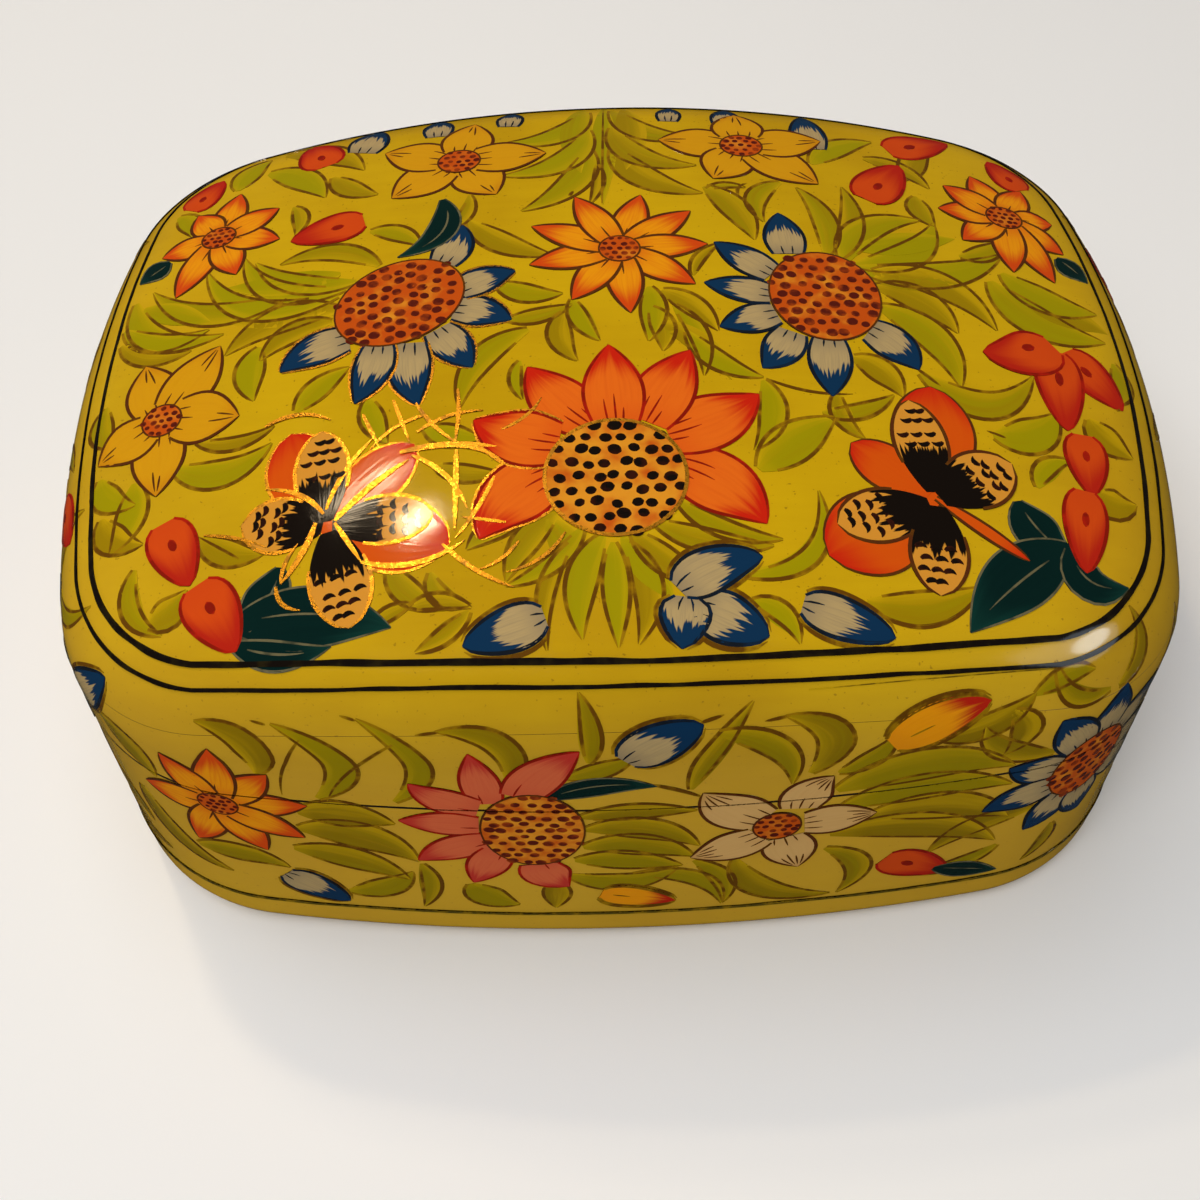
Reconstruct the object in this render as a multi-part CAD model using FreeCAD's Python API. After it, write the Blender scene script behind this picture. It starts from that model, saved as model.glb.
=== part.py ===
import FreeCAD, Part
import math
import os

# Small lidded box of papier mache: an oblong with bowed sides and round corners, a low domed
# crown, and a lid that lifts straight off a collar glued inside the base.
# The paper is moulded as one closed shape, rubbed smooth and sawn apart at the parting line.
# Lengths are in millimetres. The origin is on the underside, at its middle, with +Z up,
# +X along the length and the front face towards -Y.

# Outside of the closed box
box_length = 102.0
box_width = 78.0
box_height = 45.5
long_side_bow = 6.0
end_bow = 5.8
corner_radius = 18.0
crown_radius = 180.0
shoulder_radius = 9.2
foot_radius = 3.0

# Where the moulded shape is parted: the saw cut, as far down from the crown's top as the lid is
# high, and the glued seam of the crown, as deep under the crown's surface all the way round
lid_height = 20.1
seam_depth = 4.4

# Pasted paper walls
base_wall = 3.5
crown_thickness = 3.5
floor_thickness = 3.5
inner_shoulder_radius = 4.0

# Collar inside the base, and the lid's fit over it
collar_thickness = 1.6
collar_rise = 4.0
collar_reach_below = 9.0
collar_lead_in = 0.5
lid_clearance = 0.3

# How far a cutting solid runs past what it cuts
overrun = 5.0

# Rounded edges are rubbed in narrow flats: the number of flats in each quarter turn or less
shoulder_flat_count = 8
inner_shoulder_flat_count = 4
foot_flat_count = 4

# The last flat of a shoulder runs on past the crown by this many of its own widths
last_flat_share = 4.0

# The most of the wall that the rounded foot may take
foot_wall_share = 0.9

half_length = box_length / 2
half_width = box_width / 2
crown_centre = box_height - crown_radius
parting_height = box_height - lid_height
lid_wall = base_wall - lid_clearance
collar_bore_inset = base_wall + collar_thickness
collar_top = parting_height + collar_rise
collar_bottom = parting_height - collar_reach_below


def bow_radius(half_chord, bow):
    """Radius of an arc that rises by bow over a chord of twice half_chord."""
    return (half_chord**2 + bow**2) / (2 * bow)


def plan_points():
    """Ends and middles of the plan's eight tangent arcs, each with its outward direction.

    The points run round the plan from the middle of the +X end, so that every second one,
    from the second on, is where two arcs meet.
    """
    end_radius = bow_radius(half_width, end_bow)
    side_radius = bow_radius(half_length, long_side_bow)
    end_centre = half_length - end_radius
    side_centre = half_width - side_radius

    # A corner arc touches both side arcs from inside, so its centre lies on two circles
    to_end = end_radius - corner_radius
    to_side = side_radius - corner_radius
    span = math.hypot(end_centre, side_centre)
    along = (to_end**2 - to_side**2 + span**2) / (2 * span)
    across = math.sqrt(to_end**2 - along**2)
    unit_x = -end_centre / span
    unit_y = side_centre / span
    corner_x = end_centre + along * unit_x - across * unit_y
    corner_y = along * unit_y + across * unit_x

    end_angle = math.atan2(corner_y, corner_x - end_centre)
    side_angle = math.atan2(corner_y - side_centre, corner_x)
    quarter = [(half_length, 0, 0)]
    for angle in (end_angle, (end_angle + side_angle) / 2, side_angle):
        x = corner_x + corner_radius * math.cos(angle)
        y = corner_y + corner_radius * math.sin(angle)
        quarter.append((x, y, angle))
    quarter = [(x, y, math.cos(angle), math.sin(angle)) for x, y, angle in quarter]

    side_middle = (0, half_width, 0, 1)
    half = quarter + [side_middle] + [(-x, y, -u, v) for x, y, u, v in reversed(quarter)]
    return half + [(x, -y, u, -v) for x, y, u, v in reversed(half[1:-1])]


def arc_ring(points):
    """Closed wire of eight arcs through sixteen points, the first being an arc's middle."""
    arcs = []
    for middle in range(0, len(points), 2):
        start = points[middle - 1]
        end = points[(middle + 1) % len(points)]
        arcs.append(Part.Arc(start, points[middle], end).toShape())
    return Part.Wire(arcs)


def outline(inset, height):
    """Level ring of the plan, drawn in by inset."""
    return arc_ring([
        FreeCAD.Vector(x - inset * u, y - inset * v, height) for x, y, u, v in plan_points()
    ])


def prism(inset, low, high):
    """Upright block of the plan, drawn in by inset, between two heights."""
    rise = FreeCAD.Vector(0, 0, high - low)
    return Part.Face(outline(inset, low)).extrude(rise)


def crown_ball(depth):
    """Ball whose top runs at depth under the crown's surface, with its seam turned down."""
    ball = Part.makeSphere(crown_radius - depth, FreeCAD.Vector(), FreeCAD.Vector(1, 0, 0))
    ball.rotate(FreeCAD.Vector(), FreeCAD.Vector(1, 0, 0), 180)
    ball.translate(FreeCAD.Vector(0, 0, crown_centre))
    return ball


def shoulder_points(inset, depth, radius, turn):
    """Points round a shoulder that a ball of the given radius would rub between wall and crown.

    turn is 0 where the shoulder leaves the wall and 1 where it meets the crown.
    """
    points = []
    for x, y, u, v in plan_points():
        ball_x = x - (inset + radius) * u
        ball_y = y - (inset + radius) * v
        reach = crown_radius - depth - radius
        above_centre = math.sqrt(reach**2 - ball_x**2 - ball_y**2)
        ball = FreeCAD.Vector(ball_x, ball_y, crown_centre + above_centre)
        outward = FreeCAD.Vector(u, v, 0)
        upward = FreeCAD.Vector(ball_x, ball_y, above_centre).normalize()
        sweep = math.acos(outward.dot(upward))
        square = (upward - outward * outward.dot(upward)).normalize()
        angle = sweep * turn
        points.append(ball + (outward * math.cos(angle) + square * math.sin(angle)) * radius)
    return points


def domed_form(lower_rings, inset, depth, radius, flat_count):
    """Closed form from the lower rings up over a rubbed shoulder to the crown."""
    turns = [flat / flat_count for flat in range(flat_count + 1)]
    rows = [shoulder_points(inset, depth, radius, turn) for turn in turns]
    before, last = rows[-2], rows[-1]
    past = [low + (high - low) * last_flat_share for low, high in zip(before, last)]
    lid_off = [FreeCAD.Vector(point.x, point.y, box_height + overrun) for point in past]
    rings = lower_rings + [arc_ring(row) for row in rows[:-1] + [past, lid_off]]
    return Part.makeLoft(rings, True, True).common(crown_ball(depth))


def moulded_outside():
    """The whole closed outside, from the rounded foot to the crown."""
    radius = min(foot_radius, base_wall * foot_wall_share)
    foot = []
    for flat in range(foot_flat_count + 1):
        angle = math.pi / 2 * flat / foot_flat_count
        foot.append(outline(radius * (1 - math.sin(angle)), radius * (1 - math.cos(angle))))
    return domed_form(foot, 0, 0, shoulder_radius, shoulder_flat_count)


def hollow_form(inset, depth):
    """Inside of the lid, drawn in from the outside by inset at the wall, depth at the crown."""
    below = [outline(inset, -overrun)]
    return domed_form(below, inset, depth, inner_shoulder_radius, inner_shoulder_flat_count)


def above_parting():
    """All that lies above the saw cut."""
    return prism(-overrun, parting_height, box_height + overrun)


def lid_shell():
    """The lid as it comes off the saw, before the crown and the side band are told apart."""
    return moulded_outside().common(above_parting()).cut(hollow_form(lid_wall, crown_thickness))


def lid_crown():
    """Domed top panel with the turned-down shoulder, glued on the band along the seam."""
    return lid_shell().cut(crown_ball(seam_depth))


def lid_band():
    """Side ring of the lid, whose upper edge follows the crown."""
    return lid_shell().common(crown_ball(seam_depth))


def base_band():
    """Side ring of the base, with the rounded foot."""
    bore = prism(base_wall, -overrun, parting_height + overrun)
    return moulded_outside().cut(above_parting()).cut(bore)


def base_floor():
    """Floor panel that fills the foot of the side ring, level with its underside."""
    return prism(base_wall, 0, floor_thickness)


def collar():
    """Card ring glued inside the base, which stands up to hold the lid in place.

    Its top edge is bevelled so that the lid finds its way on, and rubbed down wherever it would
    come nearer to the inside of the lid's crown than the clearance.
    """
    room = hollow_form(lid_wall, crown_thickness + lid_clearance)
    bore = prism(collar_bore_inset, collar_bottom - overrun, collar_top + overrun)
    bevelled = Part.makeLoft(
        [
            outline(base_wall, collar_bottom),
            outline(base_wall, collar_top - collar_lead_in),
            outline(base_wall + collar_lead_in, collar_top),
        ],
        True,
        True,
    )
    return bevelled.common(room).cut(bore)


pieces = {
    "lid_crown": lid_crown,
    "lid_band": lid_band,
    "base_band": base_band,
    "base_floor": base_floor,
    "collar": collar,
}

os.makedirs("parts", exist_ok=True)
for name, make in pieces.items():
    piece = make().Solids[0]
    print(name, piece.isValid(), round(piece.Volume), "cubic mm")
    piece.exportStep(os.path.join("parts", name + ".step"))
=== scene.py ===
import math

import bmesh
import bpy
import numpy as np
from bpy.props import FloatProperty, FloatVectorProperty, PointerProperty
from mathutils import Matrix, Vector
from mathutils.bvhtree import BVHTree
from mathutils.interpolate import poly_3d_calc


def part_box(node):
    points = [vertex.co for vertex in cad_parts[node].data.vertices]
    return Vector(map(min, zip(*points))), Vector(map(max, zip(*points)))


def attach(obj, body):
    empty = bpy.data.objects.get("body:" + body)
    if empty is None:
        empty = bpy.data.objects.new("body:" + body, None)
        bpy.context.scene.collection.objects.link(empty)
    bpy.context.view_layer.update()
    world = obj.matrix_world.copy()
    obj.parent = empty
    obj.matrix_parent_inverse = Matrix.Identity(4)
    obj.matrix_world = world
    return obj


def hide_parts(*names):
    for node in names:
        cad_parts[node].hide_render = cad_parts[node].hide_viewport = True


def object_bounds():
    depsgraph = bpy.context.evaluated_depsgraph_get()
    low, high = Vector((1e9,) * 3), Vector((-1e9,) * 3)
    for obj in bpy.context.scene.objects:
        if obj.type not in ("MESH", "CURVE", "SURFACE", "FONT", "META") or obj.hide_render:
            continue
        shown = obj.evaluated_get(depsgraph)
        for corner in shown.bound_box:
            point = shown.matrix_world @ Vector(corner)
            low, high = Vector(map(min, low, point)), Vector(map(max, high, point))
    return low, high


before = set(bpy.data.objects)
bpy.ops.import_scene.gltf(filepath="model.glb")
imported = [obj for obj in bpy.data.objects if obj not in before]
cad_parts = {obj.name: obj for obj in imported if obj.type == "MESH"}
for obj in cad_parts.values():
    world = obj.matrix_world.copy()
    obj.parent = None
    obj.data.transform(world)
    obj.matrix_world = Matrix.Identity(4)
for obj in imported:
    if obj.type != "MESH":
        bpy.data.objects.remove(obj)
cad_low, cad_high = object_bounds()

# A small papier mache box with a lift-off lid, lacquered yellow green and painted with flowers.
# Scene lengths are metres. Tables of painted places are millimetres, times MM where they are used.
# On the crown a place is (x, y) in plan. On the band it is (way, rise): way runs round the box
# from the middle of the front towards +X, and rise is the height up the wall, measured on round
# the shoulder.

bl_info = {
    "name": "Painted papier mache box",
    "version": (1, 0, 0),
    "blender": (4, 5, 0),
    "location": "3D View > Sidebar > Painted Box",
    "description": "Builds a lacquered and painted papier mache box with a lift-off lid",
    "category": "Object",
}

MM = 0.001


def length(name, description, default):
    """Property for a length in metres."""
    return FloatProperty(name=name, description=description, default=default, unit="LENGTH", min=0.0)


def view_angle(name, description, degrees):
    """Property for an angle."""
    return FloatProperty(
        name=name, description=description, default=math.radians(degrees), subtype="ANGLE"
    )


def paint_colour(name, description, default):
    """Property for a linear colour."""
    return FloatVectorProperty(
        name=name, description=description, default=default, subtype="COLOR", size=3, min=0.0, max=1.0
    )


class BoxShape(bpy.types.PropertyGroup):
    """Sizes of the closed box"""

    box_length: length("Length", "Overall length of the box", cad_high[0] - cad_low[0])
    box_width: length("Width", "Overall width of the box", cad_high[1] - cad_low[1])
    box_height: length("Height", "Height of the crown's top", cad_high[2])
    parting_height: length("Parting height", "Height of the saw cut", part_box("base_band")[1].z)
    side_bow: length("Long side bow", "Rise of the long sides in plan", 0.006)
    end_bow: length("End bow", "Rise of the ends in plan", 0.0058)
    corner_radius: length("Corner radius", "Radius of the corners in plan", 0.018)
    crown_radius: length("Crown radius", "Radius of the domed top", 0.180)
    shoulder_radius: length("Shoulder radius", "Radius that the shoulder is rubbed to", 0.0092)
    foot_radius: length("Foot radius", "Radius of the rounded foot", 0.003)
    base_wall: length("Base wall", "Thickness of the base's pasted paper wall", 0.0035)
    lid_wall: length("Lid wall", "Thickness of the lid's pasted paper wall", 0.0032)
    crown_thickness: length("Crown thickness", "Thickness of the domed top", 0.0035)
    inner_shoulder: length("Inner shoulder", "Radius inside the lid's shoulder", 0.004)
    seam_depth: length("Seam depth", "Depth of the crown's glued seam under its top", 0.0044)
    collar_thickness: length("Collar thickness", "Thickness of the collar's card", 0.0016)
    collar_lead_in: length("Collar lead-in", "Bevel at the collar's top", 0.0005)
    paint_depth: length("Paint depth", "Room kept for the paint within the box's size", 0.00015)
    hairline: length("Hairline", "Rounding of the sawn edges", 0.00018)
    glue_line: length("Glue line", "Rounding of the edges at the lid's glued seam", 0.00002)


def linear(red, green, blue):
    """Linear colour of a paint that looks like these 0 to 255 amounts."""
    shares = [amount / 255 for amount in (red, green, blue)]
    return tuple(
        share / 12.92 if share < 0.04045 else ((share + 0.055) / 1.055) ** 2.4 for share in shares
    )


class BoxPaint(bpy.types.PropertyGroup):
    """Colours of the paints"""

    ground: paint_colour("Ground", "Yellow green ground", linear(204, 166, 13))
    ground_shade: paint_colour("Ground shade", "Browner patches of the ground", linear(176, 136, 10))
    leaf: paint_colour("Leaf", "Fresh green of the leaves", linear(154, 142, 4))
    leaf_shade: paint_colour("Leaf shade", "Olive green of the leaves", linear(150, 122, 6))
    # Painted reflection: the sides' ground, duller and greyer for the sheen that the walls mirror
    handled_ground: paint_colour("Handled ground", "Duller ground on the sides", linear(204, 160, 54))
    side_leaf: paint_colour("Side leaf", "Green of the leaves on the sides", linear(144, 126, 6))
    side_leaf_shade: paint_colour("Side leaf shade", "Browner leaves on the sides", linear(134, 108, 8))
    dark_leaf: paint_colour("Dark leaf", "Blue green of the dark leaves", linear(6, 32, 30))
    brown_pen: paint_colour("Brown pen", "Outlines of the leaves", linear(98, 62, 9))
    black: paint_colour("Black", "Border lines and seeds", linear(20, 14, 10))
    gold: paint_colour("Gold", "Metallic outlines", linear(228, 158, 40))
    red_heart: paint_colour("Red flower, heart", "Petals near the heart", linear(224, 104, 24))
    red_tip: paint_colour("Red flower, tips", "Tips of the petals", linear(196, 34, 14))
    pink_heart: paint_colour("Pink flower, heart", "Petals near the heart", linear(208, 100, 62))
    pink_tip: paint_colour("Pink flower, tips", "Tips of the petals", linear(184, 52, 42))
    star_heart: paint_colour("Star flower, heart", "Petals near the heart", linear(228, 148, 14))
    star_tip: paint_colour("Star flower, tips", "Tips of the petals", linear(204, 70, 16))
    yellow_heart: paint_colour("Yellow flower, heart", "Petals near the heart", linear(206, 148, 16))
    yellow_tip: paint_colour("Yellow flower, tips", "Tips of the petals", linear(194, 126, 14))
    cream_heart: paint_colour("Cream flower, heart", "Petals near the heart", linear(208, 166, 102))
    cream_tip: paint_colour("Cream flower, tips", "Tips of the petals", linear(186, 142, 78))
    blue_heart: paint_colour("Blue flower, heart", "Pale part of the petals", linear(176, 152, 104))
    blue_tip: paint_colour("Blue flower, tips", "Blue part of the petals", linear(14, 48, 80))
    bud_heart: paint_colour("Bud, heart", "Middle of the red buds", linear(204, 72, 18))
    bud_tip: paint_colour("Bud, tip", "Tip of the red buds", linear(176, 34, 18))
    seed_bed: paint_colour("Seed bed", "Orange hearts of the flowers", linear(218, 144, 36))
    seed_bed_shade: paint_colour("Seed bed shade", "Redder parts of the hearts", linear(190, 78, 16))
    wing: paint_colour("Wing", "Orange of the butterflies", linear(208, 82, 12))
    wing_patch: paint_colour("Wing patch", "Tan patches of the wings", linear(208, 142, 48))
    inside: paint_colour("Inside", "Black lacquer inside", linear(24, 20, 18))


class BoxForm:
    """The moulded shape: a plan of tangent arcs, a ball-shaped crown and a rubbed shoulder."""

    def __init__(self, shape):
        self.shape = shape
        half_length, half_width = shape.box_length / 2, shape.box_width / 2
        self.end_radius = self.bow_radius(half_width, shape.end_bow)
        self.side_radius = self.bow_radius(half_length, shape.side_bow)
        self.end_centre = half_length - self.end_radius
        self.side_centre = half_width - self.side_radius
        to_end = self.end_radius - shape.corner_radius
        to_side = self.side_radius - shape.corner_radius
        span = math.hypot(self.end_centre, self.side_centre)
        along = (to_end**2 - to_side**2 + span**2) / (2 * span)
        across = math.sqrt(to_end**2 - along**2)
        unit_x, unit_y = -self.end_centre / span, self.side_centre / span
        self.corner_x = self.end_centre + along * unit_x - across * unit_y
        self.corner_y = along * unit_y + across * unit_x
        self.end_angle = math.atan2(self.corner_y, self.corner_x - self.end_centre)
        self.side_angle = math.atan2(self.corner_y - self.side_centre, self.corner_x)
        self.end_arc = self.end_radius * self.end_angle
        self.corner_arc = shape.corner_radius * (self.side_angle - self.end_angle)
        side_arc = self.side_radius * (math.pi / 2 - self.side_angle)
        self.quarter = self.end_arc + self.corner_arc + side_arc
        self.crown_centre = shape.box_height - shape.crown_radius
        self.skin = shape.paint_depth

    @staticmethod
    def bow_radius(half_chord, bow):
        """Radius of an arc that rises by bow over twice half_chord."""
        return (half_chord**2 + bow**2) / (2 * bow)

    def plan(self, way):
        """Places on the plan's outline and their outward directions, at distances along it."""
        shape = self.shape
        way = (np.asarray(way, float) + 2 * self.quarter) % (4 * self.quarter) - 2 * self.quarter
        side = np.where(way < 0, -1.0, 1.0)
        past_end = np.abs(way) > self.quarter
        from_end = np.abs(np.abs(way) - self.quarter)
        before_side = from_end - self.end_arc - self.corner_arc
        arc = np.where(from_end < self.end_arc, 0, np.where(before_side < 0, 1, 2))
        angle = np.choose(arc, [
            from_end / self.end_radius,
            self.end_angle + (from_end - self.end_arc) / shape.corner_radius,
            self.side_angle + before_side / self.side_radius,
        ])
        radius = np.choose(arc, [self.end_radius, shape.corner_radius, self.side_radius])
        x = np.choose(arc, [self.end_centre, self.corner_x, 0.0]) + radius * np.cos(angle)
        y = np.choose(arc, [0.0, self.corner_y, self.side_centre]) + radius * np.sin(angle)
        turn = np.where(past_end, 1.0, -1.0)
        place = np.stack([side * x, turn * y], -1)
        outward = np.stack([side * np.cos(angle), turn * np.sin(angle), 0 * angle], -1)
        return place, outward

    def wall(self, way, height, inset):
        """Points on the wall and their outward directions."""
        place, outward = self.plan(way)
        height = np.broadcast_to(height, np.shape(way))
        points = np.concatenate([place - inset * outward[..., :2], height[..., None]], -1)
        return points, outward

    def ball(self, way, inset, depth, radius):
        """Centres of a ball that touches wall and crown, with the ways to wall and crown."""
        place, outward = self.plan(way)
        flat = place - (inset + radius) * outward[..., :2]
        reach = self.shape.crown_radius - depth - radius
        rise = np.sqrt(reach**2 - (flat**2).sum(-1))
        from_centre = np.concatenate([flat, rise[..., None]], -1)
        centre = from_centre + np.array([0, 0, self.crown_centre])
        upward = from_centre / reach
        return centre, outward, upward

    def shoulder(self, way, lean, inset, depth, radius, from_crown=False):
        """Points on the rubbed shoulder and their outward directions.

        lean is the angle up from the wall's outward direction, or down from the crown's.
        """
        centre, outward, upward = self.ball(way, inset, depth, radius)
        dot = (outward * upward).sum(-1, keepdims=True)
        square = upward - outward * dot
        square /= np.linalg.norm(square, axis=-1, keepdims=True)
        lean = np.broadcast_to(lean, np.shape(way))[..., None]
        if from_crown:
            lean = np.arccos(dot) - lean
        facing = outward * np.cos(lean) + square * np.sin(lean)
        return centre + radius * facing, facing

    def seam_turn(self, depth, radius):
        """Angle down from the crown at which a shoulder meets the glued seam."""
        reach = self.shape.crown_radius - depth - radius
        seam = self.shape.crown_radius - self.shape.seam_depth
        return math.acos((seam**2 - reach**2 - radius**2) / (2 * reach * radius))

    def crown(self, places, depth):
        """Points of the ball-shaped crown over places in plan, and their outward directions."""
        radius = self.shape.crown_radius - depth
        rise = np.sqrt(radius**2 - (places**2).sum(-1))
        facing = np.concatenate([places, rise[..., None]], -1) / radius
        return facing * radius + np.array([0, 0, self.crown_centre]), facing

    def wall_top(self, way):
        """Heights at which the wall's skin ends and the rubbed shoulder begins."""
        radius = self.shape.shoulder_radius - self.skin
        return self.ball(way, self.skin, self.skin, radius)[0][..., 2]

    def band(self, places):
        """Points on the painted side at places (way, rise), and their outward directions."""
        way, rise = places[..., 0], places[..., 1]
        inset, radius = self.skin, self.shape.shoulder_radius - self.skin
        wall_top = self.wall_top(way)
        lean = np.clip((rise - wall_top) / self.shape.shoulder_radius, 0, None)
        round_points, round_facing = self.shoulder(way, lean, inset, inset, radius)
        wall_points, wall_facing = self.wall(way, rise, inset)
        on_wall = (rise < wall_top)[..., None]
        points = np.where(on_wall, wall_points, round_points)
        return points, np.where(on_wall, wall_facing, round_facing)


# Skins are rings of points round the box, from one row of a profile to the next
RING_POINTS = 320
# How far a rounded corner of a quarter turn stands out from its chord, as a share of the chord
CORNER_BULGE = 0.2
# Innermost row of the crown, as a share of the way from its middle to its rim
FIRST_CROWN_SHARE = 0.02
# Rows of points over each stretch of the skins
ROWS = {
    "crown": 26, "crown shoulder": 18, "under the shoulder": 8, "lid shoulder": 10, "lid wall": 12,
    "lid bore": 4, "lid corner": 7, "base wall": 20, "foot": 9,
}
# Outward and upward parts of the direction that a bevel faces
BEVEL_FACING = 0.7
# Lengths under this count as nothing when a direction is worked out
NOTHING = 1e-9


def ring_ways(form):
    """Evenly spaced distances round the plan."""
    return np.linspace(-2 * form.quarter, 2 * form.quarter, RING_POINTS, endpoint=False)


def eased(segments, radii, closed):
    """Joins segments of rows with small rounded corners, and gives each row its paint.

    A segment is (paint, rows), and a row is (points, facing). radii has one corner for each segment.
    """
    segments = [(paint, list(rows)) for paint, rows in segments]
    count = len(segments)
    corners = count if closed else count - 1
    for index in range(corners):
        rows, following = segments[index][1], segments[(index + 1) % count][1]
        rows[-1], following[0] = (
            pulled(rows[-1], rows[-2], radii[index]),
            pulled(following[0], following[1], radii[index]),
        )
    joined, paints = [], []
    for index, (paint, rows) in enumerate(segments):
        joined += rows
        paints += [paint] * len(rows)
        if index < corners:
            here, ahead = rows[-1], segments[(index + 1) % count][1][0]
            facing = here[1] + ahead[1]
            facing = facing / np.linalg.norm(facing, axis=-1, keepdims=True)
            bulge = np.linalg.norm(here[0] - ahead[0], axis=-1, keepdims=True) * CORNER_BULGE
            joined.append(((here[0] + ahead[0]) / 2 + facing * bulge, facing))
            paints.append(paint)
    return joined, paints


def pulled(row, towards, radius):
    """A row moved by radius towards its neighbour."""
    way = towards[0] - row[0]
    way = way / np.linalg.norm(way, axis=-1, keepdims=True)
    return row[0] + radius * way, row[1]


def mesh_object(name, vertices, facing, faces, materials, face_materials=None):
    """Mesh object, smooth, with the given facing at each vertex."""
    mesh = bpy.data.meshes.new(name)
    mesh.from_pydata(vertices.tolist(), [], faces)
    mesh.polygons.foreach_set("use_smooth", [True] * len(mesh.polygons))
    for material in materials:
        mesh.materials.append(material)
    if face_materials is not None:
        mesh.polygons.foreach_set("material_index", face_materials)
    kept = mesh.attributes.new("facing", "FLOAT_VECTOR", "POINT")
    kept.data.foreach_set("vector", np.ascontiguousarray(facing, np.float32).ravel())
    mesh.normals_split_custom_set_from_vertices(facing.tolist())
    piece = bpy.data.objects.new(name, mesh)
    bpy.context.scene.collection.objects.link(piece)
    return piece


def ring_skin(name, rows, closed, materials, row_materials):
    """Skin through rings of points. Where it isn't closed, its first and last rows are poles."""
    count = RING_POINTS
    vertices = np.concatenate([row[0] for row in rows])
    facing = np.concatenate([row[1] for row in rows])
    faces, slots = [], []
    last = len(rows) if closed else len(rows) - 1
    for index in range(last):
        low, high = index * count, (index + 1) % len(rows) * count
        for here in range(count):
            after = (here + 1) % count
            faces.append((low + here, high + here, high + after, low + after))
            slots.append(row_materials[index])
    if not closed:
        for ring, slot in ((0, row_materials[0]), (len(rows) - 1, row_materials[-1])):
            pole = np.array([[0.0, 0.0, rows[ring][0][:, 2].mean()]])
            tip = len(vertices)
            vertices = np.concatenate([vertices, pole])
            facing = np.concatenate([facing, np.sign(rows[ring][1][:1] * [[0, 0, 1]])])
            for here in range(count):
                pair = (ring * count + here, ring * count + (here + 1) % count)
                faces.append((tip,) + (pair if ring == 0 else pair[::-1]))
                slots.append(slot)
    return mesh_object(name, vertices, facing, faces, materials, slots)


def crown_rows(form, depth, radius, sign):
    """Rows of the domed top from near its pole out to the shoulder."""
    ways = ring_ways(form)
    rim = form.shoulder(ways, 0.0, depth, depth, radius, from_crown=True)[0][:, :2]
    rows = []
    for share in np.linspace(FIRST_CROWN_SHARE, 1, ROWS["crown"])[:-1]:
        points, facing = form.crown(rim * share, depth)
        rows.append((points, sign * facing))
    return rows


def shoulder_rows(form, inset, depth, radius, first, last, steps, sign):
    """Rows round the shoulder between two angles down from the crown."""
    rows = []
    for share in np.linspace(0, 1, steps):
        lean = first + (last - first) * share
        points, facing = form.shoulder(ring_ways(form), lean, inset, depth, radius, from_crown=True)
        rows.append((points, sign * facing))
    return rows


def wall_rows(form, inset, heights, sign):
    """Rows down or up the wall, at heights that may differ round the box."""
    rows = []
    for height in heights:
        points, outward = form.wall(ring_ways(form), height, inset)
        rows.append((points, sign * outward))
    return rows


def level_rows(form, insets, height, sign):
    """Rows across a level face."""
    rows = []
    for inset in insets:
        points, outward = form.wall(ring_ways(form), height, inset)
        rows.append((points, np.zeros_like(points) + [0, 0, sign]))
    return rows


def sweep_round(form, inset, depth, radius):
    """Angle of the whole shoulder, from crown to wall, and the height of the wall's top."""
    centre, outward, upward = form.ball(ring_ways(form), inset, depth, radius)
    return np.arccos((outward * upward).sum(-1)), centre[:, 2]


def build_lid_skins(form, outside, inside):
    """Domed top and side ring of the lid, glued along the seam."""
    shape, skin = form.shape, form.skin
    outer = shape.shoulder_radius - skin
    outer_turn = form.seam_turn(skin, outer)
    inner_turn = form.seam_turn(shape.crown_thickness, shape.inner_shoulder)
    inner = (shape.lid_wall, shape.crown_thickness, shape.inner_shoulder)
    sweep, wall_top = sweep_round(form, skin, skin, outer)
    inner_sweep, inner_top = sweep_round(form, *inner)

    top = crown_rows(form, skin, outer, 1)
    top += shoulder_rows(form, skin, skin, outer, 0, outer_turn, ROWS["crown shoulder"], 1)
    under = shoulder_rows(form, *inner, inner_turn, 0, ROWS["under the shoulder"], -1)
    under += crown_rows(form, shape.crown_thickness, shape.inner_shoulder, -1)[::-1]
    seam_out = form.shoulder(ring_ways(form), outer_turn, skin, skin, outer, from_crown=True)[0]
    seam_in = form.shoulder(ring_ways(form), inner_turn, *inner, from_crown=True)[0]
    to_centre = np.array([0, 0, form.crown_centre]) - seam_out
    to_centre /= np.linalg.norm(to_centre, axis=-1, keepdims=True)
    seam = [(seam_out, to_centre), (seam_in, to_centre)]
    rows, paints = eased([(0, top), (1, seam), (1, under)], [shape.glue_line] * 2, False)
    crown = ring_skin("lid_crown_skin", rows, False, [outside, inside], paints)

    side = shoulder_rows(form, skin, skin, outer, outer_turn, sweep, ROWS["lid shoulder"], 1)
    down = np.linspace(0, 1, ROWS["lid wall"])[1:]
    side += wall_rows(form, skin, [wall_top + (shape.parting_height - wall_top) * k for k in down], 1)
    edge = level_rows(form, [skin, shape.lid_wall], shape.parting_height, -1)
    up = np.linspace(0, 1, ROWS["lid bore"])
    bore = wall_rows(
        form, shape.lid_wall,
        [shape.parting_height + (inner_top - shape.parting_height) * k for k in up], -1,
    )
    bore += shoulder_rows(form, *inner, inner_sweep, inner_turn, ROWS["lid corner"], -1)[1:]
    over = [(seam_in, -to_centre), (seam_out, -to_centre)]
    radii = [shape.hairline, shape.hairline, shape.glue_line, shape.glue_line]
    rows, paints = eased([(0, side), (1, edge), (1, bore), (1, over)], radii, True)
    band = ring_skin("lid_band_skin", rows, True, [outside, inside], paints)
    return crown, band


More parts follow.
